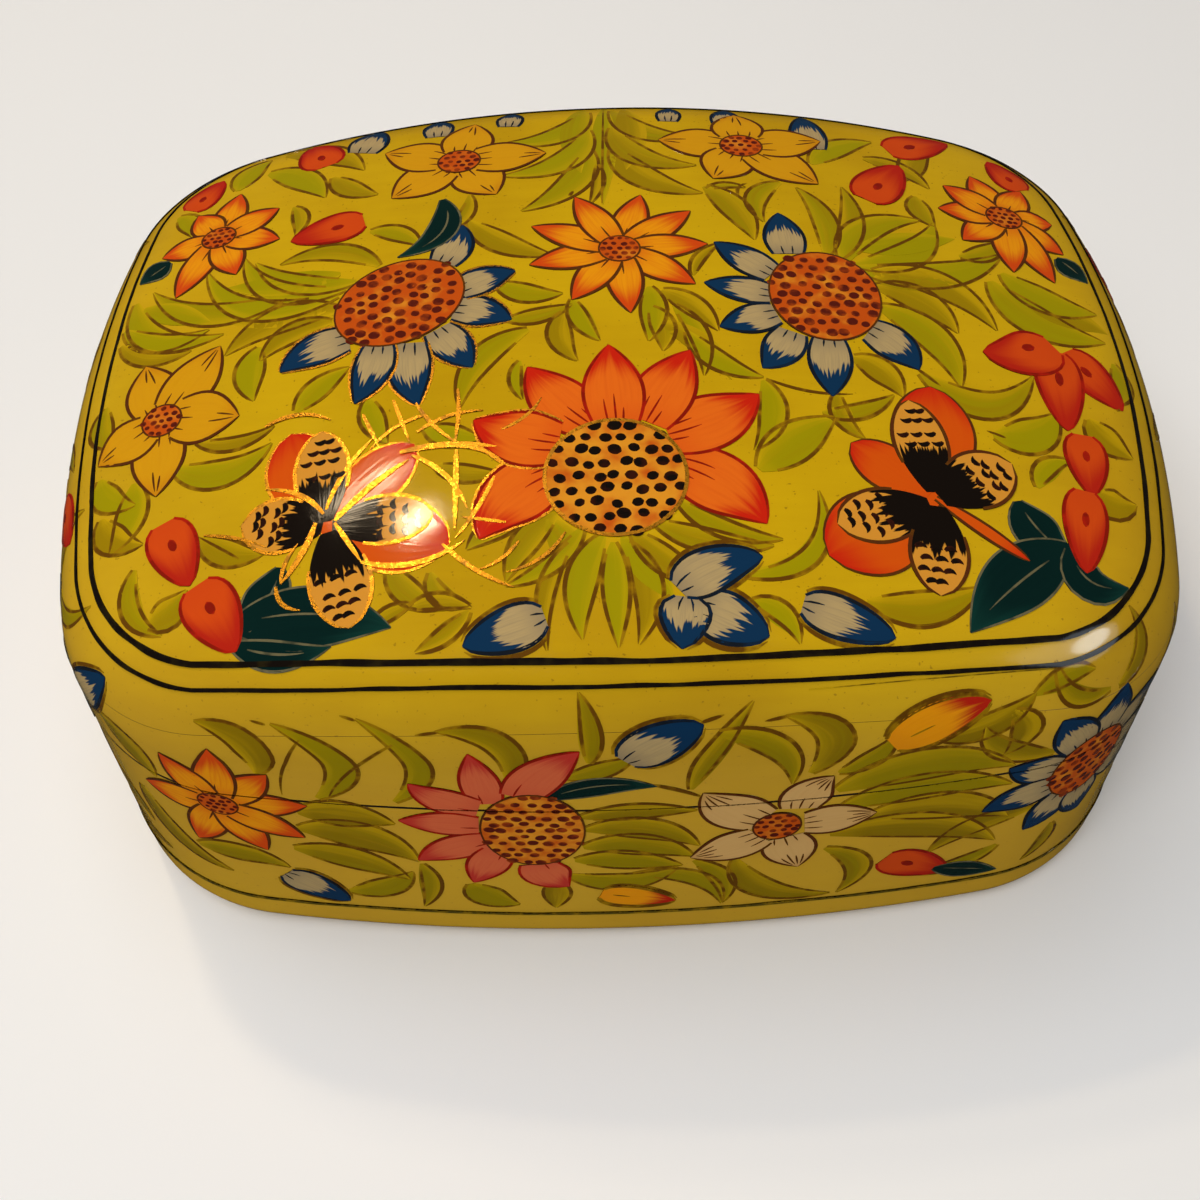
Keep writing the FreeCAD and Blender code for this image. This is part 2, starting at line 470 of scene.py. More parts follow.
def build_base_skin(form, outside, inside):
    """Side ring of the base, with the rounded foot."""
    shape, skin = form.shape, form.skin
    foot = shape.foot_radius - skin
    heights = np.linspace(shape.parting_height, foot, ROWS["base wall"])
    side = wall_rows(form, skin, heights, 1)
    for turn in np.linspace(0, math.pi / 2, ROWS["foot"])[1:]:
        inset = shape.foot_radius - foot * math.cos(turn)
        points, outward = form.wall(ring_ways(form), foot * (1 - math.sin(turn)), inset)
        side.append((points, outward * math.cos(turn) - np.array([0, 0, math.sin(turn)])))
    side += level_rows(form, [shape.base_wall], 0.0, -1)
    bore = wall_rows(form, shape.base_wall, [0.0, shape.parting_height], -1)
    edge = level_rows(form, [shape.base_wall, skin], shape.parting_height, 1)
    rows, paints = eased([(0, side), (1, bore), (1, edge)], [shape.hairline] * 3, True)
    return ring_skin("base_band_skin", rows, True, [outside, inside], paints)


def build_collar_skin(form, card):
    """Card ring that stands up in the lid."""
    shape = form.shape
    low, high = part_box("collar")[0].z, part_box("collar")[1].z
    lead, bore_inset = shape.collar_lead_in, shape.base_wall + shape.collar_thickness
    shoulder = wall_rows(form, shape.base_wall + lead, [high], 1) + wall_rows(
        form, shape.base_wall, [high - lead], 1
    )
    shoulder = [(points, facing * BEVEL_FACING + [0, 0, BEVEL_FACING]) for points, facing in shoulder]
    segments = [
        (0, shoulder),
        (0, wall_rows(form, shape.base_wall, [high - lead, low], 1)),
        (0, level_rows(form, [shape.base_wall, bore_inset], low, -1)),
        (0, wall_rows(form, bore_inset, [low, high], -1)),
        (0, level_rows(form, [bore_inset, shape.base_wall + lead], high, 1)),
    ]
    rows, paints = eased(segments, [shape.hairline] * len(segments), True)
    return ring_skin("collar_skin", rows, True, [card], paints)


class Wire:
    """A value inside a material, with Python's operators for its maths."""

    def __init__(self, finish, socket):
        self.finish = finish
        self.socket = socket

    def maths(self, operation, *values):
        """Adds a Math node on these values."""
        return self.finish.node("ShaderNodeMath", {"operation": operation}, dict(enumerate(values)))

    def __add__(self, other):
        return self.maths("ADD", self, other)

    def __radd__(self, other):
        return self.maths("ADD", other, self)

    def __sub__(self, other):
        return self.maths("SUBTRACT", self, other)

    def __rsub__(self, other):
        return self.maths("SUBTRACT", other, self)

    def __mul__(self, other):
        return self.maths("MULTIPLY", self, other)

    def __rmul__(self, other):
        return self.maths("MULTIPLY", other, self)

    def __pow__(self, other):
        return self.maths("POWER", self, other)

    def __rpow__(self, other):
        return self.maths("POWER", other, self)

    def size(self):
        """The value without its sign."""
        return self.maths("ABSOLUTE", self)


# A Mix node has sockets for each type of value. These are its colours and its mixed colour.
MIX_FIRST = 6
MIX_SECOND = 7
MIX_RESULT = 2


class Finish:
    """A material made of nodes, on the shader that Blender gives it."""

    def __init__(self, name, roughness):
        self.material = bpy.data.materials.new(name)
        self.material.use_nodes = True
        self.tree = self.material.node_tree
        self.shader = self.tree.nodes["Principled BSDF"]
        self.shader.inputs["Roughness"].default_value = roughness
        self.shader.inputs["IOR"].default_value = LACQUER_INDEX
        self.shader.inputs["Specular IOR Level"].default_value = LACQUER_SHEEN

    def node(self, kind, settings, values, output=0):
        """Adds a node, makes its settings, fills its sockets, and gives one of its outputs."""
        made = self.tree.nodes.new(kind)
        for setting, value in settings.items():
            setattr(made, setting, value)
        for socket, value in values.items():
            self.fill(made.inputs[socket], value)
        return Wire(self, made.outputs[output])

    def fill(self, socket, value):
        """Links a socket to a wire, or sets its value."""
        if isinstance(value, Wire):
            self.tree.links.new(value.socket, socket)
        elif socket.type == "RGBA":
            socket.default_value = (*value, 1)
        else:
            socket.default_value = value

    def give(self, socket, value):
        """Fills one of the shader's own sockets."""
        self.fill(self.shader.inputs[socket], value)

    def place(self):
        """Position on the box, which moves with the piece."""
        return self.node("ShaderNodeTexCoord", {}, {}, "Object")

    def marks(self, *names):
        """Numbers that the brush left on its marks."""
        return [self.node("ShaderNodeAttribute", {"attribute_name": name}, {}, "Fac") for name in names]

    def noise(self, scale, detail, at=None):
        """Cloudy value about 0.5, with features about 1 / scale long."""
        values = {"Vector": at or self.place(), "Scale": scale, "Detail": detail}
        return self.node("ShaderNodeTexNoise", {}, values, "Fac")

    def stretched(self, x, y, z):
        """Position with its axes multiplied by these amounts."""
        values = {0: self.place(), 1: (x, y, z)}
        return self.node("ShaderNodeVectorMath", {"operation": "MULTIPLY"}, values)

    def vector(self, x, y, z):
        """Vector of three values."""
        return self.node("ShaderNodeCombineXYZ", {}, {0: x, 1: y, 2: z})

    def step(self, value, low, high, first=0.0, last=1.0):
        """Smooth step from first, where value is low, to last, where it is high."""
        settings = {"interpolation_type": "SMOOTHSTEP"}
        values = {0: value, 1: low, 2: high, 3: first, 4: last}
        return self.node("ShaderNodeMapRange", settings, values)

    def blend(self, share, first, second):
        """Colour between two colours."""
        values = {"Factor": share, MIX_FIRST: first, MIX_SECOND: second}
        return self.node("ShaderNodeMix", {"data_type": "RGBA"}, values, MIX_RESULT)

    def lacquer(self, unevenness, extra=None):
        """Clear lacquer: slow waves and brush ripple under one coat.

        unevenness multiplies the heights of LACQUER_WAVE and LACQUER_RIPPLE. extra is more relief,
        in metres.
        """
        wave, ripple = LACQUER_WAVE, LACQUER_RIPPLE
        relief = self.noise(wave[0], 1.0) * (wave[1] * unevenness)
        relief = relief + self.noise(ripple[0], 2.0) * (ripple[1] * unevenness)
        if extra is not None:
            relief = relief + extra
        self.give("Normal", self.node("ShaderNodeBump", {}, {"Height": relief, "Distance": 1.0}))


# Relief of the lacquer: features per metre, and height in metres
LACQUER_WAVE = (260, 0.000014)
LACQUER_RIPPLE = (1700, 0.0000024)
# Roughness of the lacquer, its index of refraction and the strength of its reflections
LACQUER_ROUGHNESS = 0.08
LACQUER_INDEX = 1.5
LACQUER_SHEEN = 0.17
# Painted reflection: the ground is painted duller and greyer on the sides, for the sheen that the walls
# mirror: share of the duller colour, and heights in metres where that is full and where it ends
SIDE_SHEEN_SHARE = 0.6
SIDE_SHEEN_HEIGHTS = (0.028, 0.044)


def ground_finish(name, ground, shade, specks, handled_ground):
    """Yellow green ground, brushed on by hand."""
    finish = Finish(name, LACQUER_ROUGHNESS)
    cloud = finish.step(finish.noise(42, 4.0), 0.38, 0.68)
    brushed = finish.noise(1.0, 3.0, finish.stretched(90, 900, 900))
    speck = finish.step(finish.noise(2600, 1.0), 0.70, 0.78)
    colour = finish.blend(cloud * 0.6 + brushed * 0.35, ground, shade)
    colour = finish.blend(speck * 0.5, colour, specks)
    height = finish.node("ShaderNodeSeparateXYZ", {}, {0: finish.place()}, 2)
    # Painted reflection: duller, greyer ground low on the sides, for the sheen that the walls mirror
    side_sheen = finish.step(height, *SIDE_SHEEN_HEIGHTS, SIDE_SHEEN_SHARE, 0.0)
    finish.give("Base Color", finish.blend(side_sheen, colour, handled_ground))
    finish.give("Roughness", finish.step(finish.noise(110, 2.0), 0.3, 0.7, 0.05, 0.12))
    finish.lacquer(1.0)
    return finish


def leaf_finish(name, fresh, shade, ground):
    """Thin green wash that fades into the ground at its sides."""
    finish = Finish(name, LACQUER_ROUGHNESS)
    across, along, tint = finish.marks("across", "along", "tint")
    streak = finish.noise(1.0, 2.0, finish.vector(across * 3.0 + tint * 40, along * 1.2, tint * 7))
    colour = finish.blend(finish.step(tint + streak * 0.7, 0.5, 1.2), fresh, shade)
    fade = finish.step(across * 0.8 + (streak - 0.5) * 1.2 + tint * 0.4, 0.0, 1.3)
    ends = finish.step((along - 0.5).size(), 0.3, 0.5)
    colour = finish.blend(fade * 0.62 + ends * 0.25, colour, ground)
    finish.give("Base Color", colour)
    finish.lacquer(1.0)
    return finish


def petal_finish(name, heart, tip, fringe, streaks=0.25):
    """Petal paint: the tip's colour runs into the heart's in brushed teeth.

    fringe is (share of the length where the tip's colour starts, depth of the teeth, softness,
    teeth across, how far the tip's colour runs down the sides).
    """
    start, depth, soft, teeth, sides = fringe
    finish = Finish(name, LACQUER_ROUGHNESS)
    across, along, tint = finish.marks("across", "along", "tint")
    comb = finish.noise(1.0, 1.0, finish.vector(across * teeth + tint * 61, tint * 13, 0.0))
    fine = finish.noise(1.0, 1.0, finish.vector(across * (teeth * 1.7) + tint * 29, along * 1.5, 0.0))
    edge = along + across.size() ** 3.0 * sides + (comb - 0.5) * depth
    share = finish.step(edge, start - soft, start + soft)
    near = finish.step(along + (fine - 0.5) * 0.5, 0.3, -0.02)
    share = finish.node("ShaderNodeMath", {"operation": "MAXIMUM"}, {0: share, 1: near * streaks})
    shade = finish.step(fine, 0.35, 0.75, 0.0, 0.64 * streaks)
    colour = finish.blend(share, heart, tip)
    colour = finish.blend(shade, colour, tip)
    finish.give("Base Color", colour)
    finish.lacquer(1.0, (fine - 0.5) * 0.000004)
    return finish


def seed_bed_finish(name, orange, shade):
    """Dabbed orange heart of a flower, redder to one side."""
    finish = Finish(name, LACQUER_ROUGHNESS)
    along, tint = finish.marks("along", "tint")
    dabs = finish.noise(520, 2.0)
    share = finish.step(dabs + along * 0.12 + tint * 0.5, 0.50, 0.95)
    finish.give("Base Color", finish.blend(share, orange, shade))
    finish.lacquer(1.4, (dabs - 0.5) * 0.00001)
    return finish


def pen_finish(name, colour, under, wear):
    """Line of paint that thins where the brush ran dry. wear is how much of it shows under."""
    finish = Finish(name, LACQUER_ROUGHNESS)
    across, along, tint = finish.marks("across", "along", "tint")
    dry = finish.noise(700, 3.0)
    ends = finish.step((along - 0.5).size(), 0.32, 0.5)
    share = finish.step(dry + ends * 0.22 + across.size() * 0.08 + tint * 0.08, 0.52, 0.80)
    finish.give("Base Color", finish.blend(share * wear, colour, under))
    finish.lacquer(1.0, (dry - 0.5) * 0.000003)
    return finish


def gold_finish(name, gold, under):
    """Gold paint, grainy where it lies thick."""
    finish = Finish(name, 0.4)
    grain = finish.noise(3400, 2.0)
    worn = finish.step(finish.noise(650, 3.0), 0.50, 0.72)
    finish.give("Base Color", finish.blend(worn * 0.6, gold, under))
    finish.give("Metallic", finish.step(worn, 0.2, 1.0, 0.8, 0.3))
    finish.give("Roughness", finish.step(grain, 0.35, 0.7, 0.24, 0.46))
    finish.lacquer(1.0, grain * 0.00001)
    return finish


def inside_finish(name, black):
    """Black lacquer over pasted paper, as inside the box."""
    finish = Finish(name, 0.28)
    fibre = finish.noise(1.0, 3.0, finish.stretched(260, 900, 260))
    rub = finish.step(finish.noise(180, 3.0), 0.55, 0.85)
    finish.give("Base Color", finish.blend(rub * 0.35, black, linear(62, 50, 40)))
    finish.give("Roughness", finish.step(fibre, 0.3, 0.7, 0.24, 0.42))
    finish.lacquer(2.0, fibre * 0.00002)
    return finish


def underside_finish(name, black):
    """Black lacquer worn by what the box stood on."""
    finish = Finish(name, 0.4)
    scuff = finish.step(finish.noise(1.0, 4.0, finish.stretched(120, 700, 120)), 0.56, 0.8)
    finish.give("Base Color", finish.blend(scuff * 0.45, black, linear(96, 78, 56)))
    finish.give("Roughness", finish.step(scuff, 0.0, 1.0, 0.34, 0.6))
    finish.lacquer(3.0, scuff * -0.00001)
    return finish


# Where a petal's tip colour starts, depth of its teeth, softness, teeth across, run down the sides
SOFT_FRINGE = (0.72, 0.42, 0.16, 5.0, 0.16)
COMB_FRINGE = (0.60, 0.62, 0.035, 7.0, 0.34)
STAR_FRINGE = (0.66, 0.40, 0.20, 4.0, 0.34)
FAINT_FRINGE = (0.86, 0.30, 0.22, 4.0, 0.20)
BUD_FRINGE = (0.66, 0.30, 0.26, 4.0, 0.50)
WING_FRINGE = (0.47, 0.60, 0.02, 6.0, 0.0)

# What makes each finish, then its colours, as they are or by their names in the panel, and amounts
FINISHES = {
    "ground_lacquer": (ground_finish, "ground", "ground_shade", "brown_pen", "handled_ground"),
    "leaf_wash": (leaf_finish, "leaf", "leaf_shade", "ground"),
    "side_leaf_wash": (leaf_finish, "side_leaf", "side_leaf_shade", "ground"),
    "dark_leaf_paint": (petal_finish, "dark_leaf", linear(14, 52, 46), FAINT_FRINGE, 0.1),
    "red_petal": (petal_finish, "red_heart", "red_tip", SOFT_FRINGE),
    "pink_petal": (petal_finish, "pink_heart", "pink_tip", SOFT_FRINGE),
    "star_petal": (petal_finish, "star_heart", "star_tip", STAR_FRINGE, 0.5),
    "yellow_petal": (petal_finish, "yellow_heart", "yellow_tip", FAINT_FRINGE),
    "cream_petal": (petal_finish, "cream_heart", "cream_tip", FAINT_FRINGE),
    "blue_petal": (petal_finish, "blue_heart", "blue_tip", COMB_FRINGE, 0.3),
    "red_bud": (petal_finish, "bud_heart", "bud_tip", BUD_FRINGE, 0.1),
    "yellow_bud": (petal_finish, "star_heart", "bud_tip", SOFT_FRINGE, 0.1),
    "wing_orange": (petal_finish, "wing", "red_tip", FAINT_FRINGE, 0.1),
    "wing_patch": (petal_finish, "black", "wing_patch", WING_FRINGE, 0.0),
    "seed_bed": (seed_bed_finish, "seed_bed", "seed_bed_shade"),
    "seed_black": (pen_finish, "black", linear(70, 26, 14), 0.5),
    "seed_brown": (pen_finish, linear(84, 26, 16), "seed_bed_shade", 0.5),
    "border_black": (pen_finish, "black", linear(52, 44, 16), 0.4),
    "brown_pen": (pen_finish, "brown_pen", "ground_shade", 0.6),
    "red_pen": (pen_finish, linear(132, 24, 10), "red_tip", 0.5),
    "blue_pen": (pen_finish, linear(20, 26, 34), "blue_tip", 0.4),
    "dark_pen": (pen_finish, linear(84, 42, 16), "brown_pen", 0.5),
    "foot_pen": (pen_finish, linear(84, 72, 18), "ground_shade", 0.5),
    "pale_pen": (pen_finish, linear(104, 98, 70), "dark_leaf", 0.7),
    "crack_pen": (pen_finish, linear(104, 82, 14), "ground", 0.8),
    "gold_pen": (gold_finish, "gold", "brown_pen"),
    "inside_lacquer": (inside_finish, "inside"),
    "underside_lacquer": (underside_finish, "inside"),
}


def finish_of(context, name):
    """The material of this name, made the first time that it is asked for."""
    made = bpy.data.materials.get(name)
    if made is None:
        maker, *given = FINISHES[name]
        paint = context.scene.box_paint
        given = [getattr(paint, item) if isinstance(item, str) else item for item in given]
        made = maker(name, *given).material
    return made


def shell_finishes(context):
    """Finishes of a moulded shell, outside and inside."""
    return finish_of(context, "ground_lacquer"), finish_of(context, "inside_lacquer")


# Height in metres from which places are dropped onto the crown
DROP_HEIGHT = 1.0


class CrownSurface:
    """The lid's domed top, found by dropping a place in plan onto its skin."""

    def __init__(self):
        mesh = bpy.data.objects["lid_crown_skin"].data
        self.vertices = [vertex.co.copy() for vertex in mesh.vertices]
        self.faces = [tuple(face.vertices) for face in mesh.polygons]
        self.facing = [Vector(kept.vector) for kept in mesh.attributes["facing"].data]
        self.tree = BVHTree.FromPolygons(self.vertices, self.faces)

    def __call__(self, places):
        """Points and outward directions at places (x, y)."""
        points, facings = [], []
        for x, y in places.tolist():
            point, _, index, _ = self.tree.ray_cast(Vector((x, y, DROP_HEIGHT)), Vector((0, 0, -1)))
            if point is None:
                raise ValueError(f"no lid under the paint at {x:.4f}, {y:.4f}")
            face = self.faces[index]
            shares = poly_3d_calc([self.vertices[corner] for corner in face], point)
            facing = sum((self.facing[c] * share for c, share in zip(face, shares)), Vector())
            points.append(point)
            facings.append(facing.normalized())
        return np.array(points), np.array(facings)

    @staticmethod
    def sheet(corners):
        """Where marks lie on the paint's texture sheet."""
        return corners / SHEET_LENGTH + SHEET_MIDDLE


# How far paint reaches into the lacquer, so that no gap opens under it
PAINT_UNDER = 0.00005
# Texture sheet of a paint: length of the box that it covers, and place of the crown's middle on it
SHEET_LENGTH = 0.104
SHEET_MIDDLE = (0.5, 0.42)
# Each side's strip of it: share of the sheet, height of the box that it covers, and how full it is
STRIP_SHARE = 0.22
STRIP_HEIGHT = 0.048
STRIP_FILL = 0.96
# Share of the sheet for faces that don't show
HIDDEN_SHARE = 0.1
# Marks of one paint differ in tint by steps that hardly ever repeat
TINT_STEP = 0.618034


def leftward(line):
    """Unit directions to the left of a line's travel, at each of its places."""
    travel = np.gradient(line, axis=0)
    travel /= np.maximum(np.linalg.norm(travel, axis=1, keepdims=True), NOTHING)
    return np.stack([-travel[:, 1], travel[:, 0]], 1)


def slab_faces(shapes, total):
    """Faces of thin slabs over grids of points, and which of the faces are on top.

    shapes are the grids' rows and columns. A point's lower twin is numbered total after it.
    """
    faces, above = [], []
    first = 0
    for rows, columns in shapes:
        number = first + np.arange(rows * columns).reshape(rows, columns)
        quads = np.stack([
            number[:-1, :-1], number[1:, :-1], number[1:, 1:], number[:-1, 1:]
        ], -1).reshape(-1, 4)
        rim = np.concatenate([
            number[:-1, 0], number[-1, :-1], number[:0:-1, -1], number[0, :0:-1]
        ])
        after = np.roll(rim, -1)
        skirt = np.stack([rim, rim + total, after + total, after], -1)
        faces += [quads, quads[:, ::-1] + total, skirt]
        above += [True] * len(quads) + [False] * (len(quads) + len(skirt))
        first += rows * columns
    return np.concatenate(faces), np.array(above)


class Brush:
    """Brush marks on one surface, gathered by paint and made into one thin piece for each paint.

    move is the shift of the present set of motifs, and 1, or -1 where the set is mirrored.
    """

    def __init__(self, surface):
        self.surface = surface
        self.marks = {}
        self.move = (0.0, 1.0)
        self.count = 0
        self.petals = 0

    def moved(self, line):
        """Places of the present set of motifs, on the whole surface."""
        shift, turn = self.move
        return np.asarray(line, float) * [turn, 1.0] + [shift, 0.0]

    def mark(self, paint, lift, line, widths, columns=5, tint=None, radial=None, along=None):
        """One mark along a line of places, in millimetres, with its half width at each place.

        lift is a kind of mark or a height. radial gives the lengthwise share from the places.
        """
        line = self.moved(line)
        widths = np.asarray(widths, float)
        across = np.linspace(-1, 1, columns)
        grid = line[:, None] + across[None, :, None] * widths[:, None, None] * leftward(line)[:, None]
        self.count += 1
        if tint is None:
            tint = (self.count * TINT_STEP) % 1.0
        if along is None:
            along = np.linspace(0, 1, len(line))
        lengthwise = np.repeat(along[:, None], columns, 1)
        if radial is not None:
            lengthwise = radial(grid)
        crosswise = np.repeat(across[None], len(line), 0)
        height = lift
        if lift in LIFTS:
            height = LIFTS[lift] + MARK_LAYER * (self.count % MARK_LAYERS)
        self.marks.setdefault(paint, []).append((grid, lengthwise, crosswise, tint, height))

    def build(self, context, prefix):
        """Makes the pieces, one for each paint."""
        pieces = []
        for paint, marks in self.marks.items():
            grids, lengthwise, crosswise, tints, heights = zip(*marks)
            sizes = [values.size for values in lengthwise]
            flat = np.concatenate([grid.reshape(-1, 2) for grid in grids]) * MM
            points, facing = self.surface(flat)
            top = points + facing * (np.repeat(heights, sizes) * MM)[:, None]
            under = points - facing * PAINT_UNDER
            faces, above = slab_faces([values.shape for values in lengthwise], len(flat))
            piece = mesh_object(
                f"{prefix}_{paint}", np.concatenate([top, under]), np.concatenate([facing, -facing]),
                faces.tolist(), [finish_of(context, paint)],
            )
            numbers = {
                "along": np.concatenate([values.ravel() for values in lengthwise]),
                "across": np.concatenate([values.ravel() for values in crosswise]),
                "tint": np.repeat(tints, sizes),
            }
            for key, values in numbers.items():
                kept = piece.data.attributes.new(key, "FLOAT", "POINT")
                kept.data.foreach_set("value", np.tile(values, 2).astype(np.float32))
            self.lay_out(piece.data, np.tile(flat, (2, 1)), faces, above)
            pieces.append(piece)
        return pieces

    def lay_out(self, mesh, places, faces, above):
        """Texture layout: the painted faces in place, the hidden ones in a corner."""
        corners = places[faces]
        spots = self.surface.sheet(corners)
        hidden = spots * HIDDEN_SHARE + [0.0, 1 - HIDDEN_SHARE]
        spots = np.where(above[:, None, None], spots, hidden)
        layer = mesh.uv_layers.new(name="OFBake")
        layer.data.foreach_set("uv", spots.astype(np.float32).ravel())


# Height of each kind of mark over the ground, in millimetres
LIFTS = {
    "leaf": 0.020, "leaf pen": 0.036, "petal": 0.052, "heart": 0.092, "seed": 0.106, "line": 0.120,
}
# Each mark lies this far over the one before it, until the layers begin again
MARK_LAYER = 0.002
MARK_LAYERS = 8
# The same for petals, and how far a petal's outline lies over it
PETAL_LAYER = 0.0046
PETAL_LAYERS = 9
PEN_LAYER = 0.0024

# How a mark swells along its length: share of a half turn at its start, lean of its belly towards
# its start (below 1) or its end, and sharpness of its ends
LEAF_BELLY = (0.03, 0.88, 0.90)
PETAL_BELLY = (0.32, 1.20, 0.88)
BUD_BELLY = (0.03, 0.66, 0.62)
WING_BELLY = (0.08, 1.25, 0.58)
TWIG_BELLY = (0.04, 0.80, 0.50)
EVEN_BELLY = (0.12, 1.0, 0.30)

# Half widths of the outlines, and length of brush mark for each row of points, in millimetres
PEN = 0.17
FINE_PEN = 0.10
NARROWEST = 0.03
ROW_LENGTH = 0.48
# Rows of points in the shortest mark and in a dab, and columns across a petal
FEWEST_ROWS = 7
DAB_ROWS = 7
PETAL_COLUMNS = 11
# Just over 1, so that a dab is blunt at its ends
DAB_BLUNTNESS = 1.02
# Outer outline of a leaf: gap and half width
LEAF_GAP = 0.10
LEAF_OUTER_PEN = PEN * 1.15
# Half width over which a leaf is broad, and how near the edge the inner outline runs on both kinds
BROAD_LEAF = 1.0
LOOSE_ON_BROAD = 0.92
LOOSE_ON_SLIM = 0.7
# Gold line outside a petal's outline: gap and half width
GILT_GAP = 0.22
GILT_PEN = PEN * 0.7


def middle_line(start, end, bend):
    """Curved line that bends to the left of its travel by this share of its length."""
    start, run = np.array(start, float), np.subtract(end, start)
    steps = max(FEWEST_ROWS, int(math.hypot(*run) / ROW_LENGTH))
    share = np.linspace(0, 1, steps)[:, None]
    left = np.array([-run[1], run[0]])
    return start + run * share + left * 4 * bend * share * (1 - share)


def heading(turn):
    """Unit direction at this angle, in radians."""
    return np.array([math.cos(turn), math.sin(turn)])


def swell(steps, half_width, belly):
    """Half widths along a mark."""
    start, lean, blunt = belly
    share = np.linspace(0, 1, steps)
    turn = np.pi * (start + (1 - start) * share) ** lean
    return np.maximum(half_width * np.abs(np.sin(turn)) ** blunt, NARROWEST)


def beside(line, offsets):
    """Line moved to its left by these offsets."""
    return line + leftward(line) * np.asarray(offsets)[:, None]


def pen_stroke(brush, paint, lift, line, half_width=PEN):
    """Outline that thins at both ends."""
    widths = swell(len(line), half_width, EVEN_BELLY)
    brush.mark(paint, lift, line, widths, 2)


def dab(brush, paint, lift, place, reach, half_width):
    """Oval dab that reaches this far to either side of its place."""
    shares = np.linspace(-1, 1, DAB_ROWS)
    line = np.array(place) + shares[:, None] * np.array(reach)
    brush.mark(paint, lift, line, half_width * np.sqrt(DAB_BLUNTNESS - shares**2), 3)


def twig(brush, x0, y0, x1, y1, half_width, bend=0.0, paint="brown_pen", lift="leaf pen"):
    """Single stroke, thin at both ends."""
    line = middle_line((x0, y0), (x1, y1), bend)
    brush.mark(paint, lift, line, swell(len(line), half_width, TWIG_BELLY), 3)


def leaf(brush, x0, y0, x1, y1, half_width, bend=0.0, wash="leaf_wash", pen="brown_pen"):
    """Leaf: a green wash with an outline down each side, the second one shorter and looser."""
    line = middle_line((x0, y0), (x1, y1), bend)
    widths = swell(len(line), half_width, LEAF_BELLY)
    brush.mark(wash, "leaf", line, widths)
    if pen is None:
        return
    outer = 1.0 if bend >= 0 else -1.0
    pen_stroke(brush, pen, "leaf pen", beside(line, outer * (widths + LEAF_GAP)), LEAF_OUTER_PEN)
    loose = widths * (LOOSE_ON_BROAD if half_width > BROAD_LEAF else LOOSE_ON_SLIM)
    first = max(1, len(line) // 7)
    pen_stroke(brush, pen, "leaf pen", beside(line, -outer * loose)[first:], PEN)


def petal(brush, kind, x0, y0, x1, y1, half_width, bend=0.0, belly=PETAL_BELLY, gilt=False):
    """Petal with its outline and a few fine veins."""
    paint, pen, outline, veins = KINDS[kind]
    line = middle_line((x0, y0), (x1, y1), bend)
    widths = swell(len(line), half_width, belly)
    brush.petals += 1
    layer = LIFTS["petal"] + PETAL_LAYER * (brush.petals % PETAL_LAYERS)
    pen_layer = layer + PEN_LAYER
    brush.mark(paint, layer, line, widths, PETAL_COLUMNS)
    for side in (-1, 1):
        pen_stroke(brush, pen, pen_layer, beside(line, side * widths), outline)
        if gilt:
            gold = beside(line, side * (widths + GILT_GAP))
            pen_stroke(brush, "gold_pen", pen_layer, gold, GILT_PEN)
    steps = len(line) - 1
    for share, first, last in veins:
        start = int(first * steps)
        vein = beside(line, widths * share)[start:max(int(last * steps) + 1, start + 3)]
        if len(vein) > 2:
            brush.mark(pen, pen_layer, vein, swell(len(vein), FINE_PEN, TWIG_BELLY), 2)


# Petal paint, outline paint, outline half width, and veins as (place across, first and last share
# of the length)
TIP_VEINS = [(-0.55, 0.68, 0.92), (-0.2, 0.62, 0.95), (0.15, 0.7, 0.95), (0.5, 0.66, 0.92)]
BASE_VEINS = [(-0.5, 0.02, 0.26), (0.0, 0.0, 0.30), (0.45, 0.02, 0.24)]
KINDS = {
    "red": ("red_petal", "red_pen", PEN, [(0.35, 0.02, 0.3), (-0.3, 0.0, 0.22), (0.0, 0.0, 0.36)]),
    "pink": ("pink_petal", "red_pen", PEN * 0.9, [(0.3, 0.02, 0.25)]),
    "star": ("star_petal", "dark_pen", PEN, [(0.0, 0.0, 0.3)]),
    "yellow": ("yellow_petal", "dark_pen", PEN, BASE_VEINS + TIP_VEINS[1:3]),
    "cream": ("cream_petal", "dark_pen", PEN, BASE_VEINS + TIP_VEINS),
    "blue": ("blue_petal", "blue_pen", PEN, [(0.3, 0.0, 0.22), (-0.3, 0.0, 0.18)]),
    "bud": ("red_bud", "red_pen", PEN, []),
    "gold bud": ("yellow_bud", "brown_pen", PEN * 1.3, [(0.0, 0.2, 0.45)]),
    "wing": ("wing_orange", "dark_pen", PEN * 0.8, []),
    "gilt wing": ("wing_orange", "gold_pen", PEN * 0.9, []),
    "dark": ("dark_leaf_paint", "pale_pen", PEN * 0.6, [(0.1, 0.2, 0.8)]),
}


# Seed bed: rows and columns of points, angle left open at its ends, and points of its rim
HEART_ROWS = 19
HEART_COLUMNS = 13
HEART_CUT = 0.02
HEART_RIM_POINTS = 49
# Paint, height and half width of a plain rim and of a gilt one
HEART_PENS = (("dark_pen", "seed", 0.09), ("gold_pen", "line", 0.16))
# Seeds in rows: height of a row, shift and least and most size as shares of the pitch, tilt in
# radians, width as a share of the size, and margin at the rim
SEED_ROW = 0.87
SEED_SHIFT = 0.16
SEED_SIZES = (0.30, 0.43)
SEED_TILT = 0.5
SEED_WIDTH = 0.82
SEED_MARGIN = 0.05


def scatter(x, y):
    """Random draws that are the same each time at one place and differ from place to place."""
    return np.random.RandomState(int(abs(x * 31 + y * 17)) + 5)


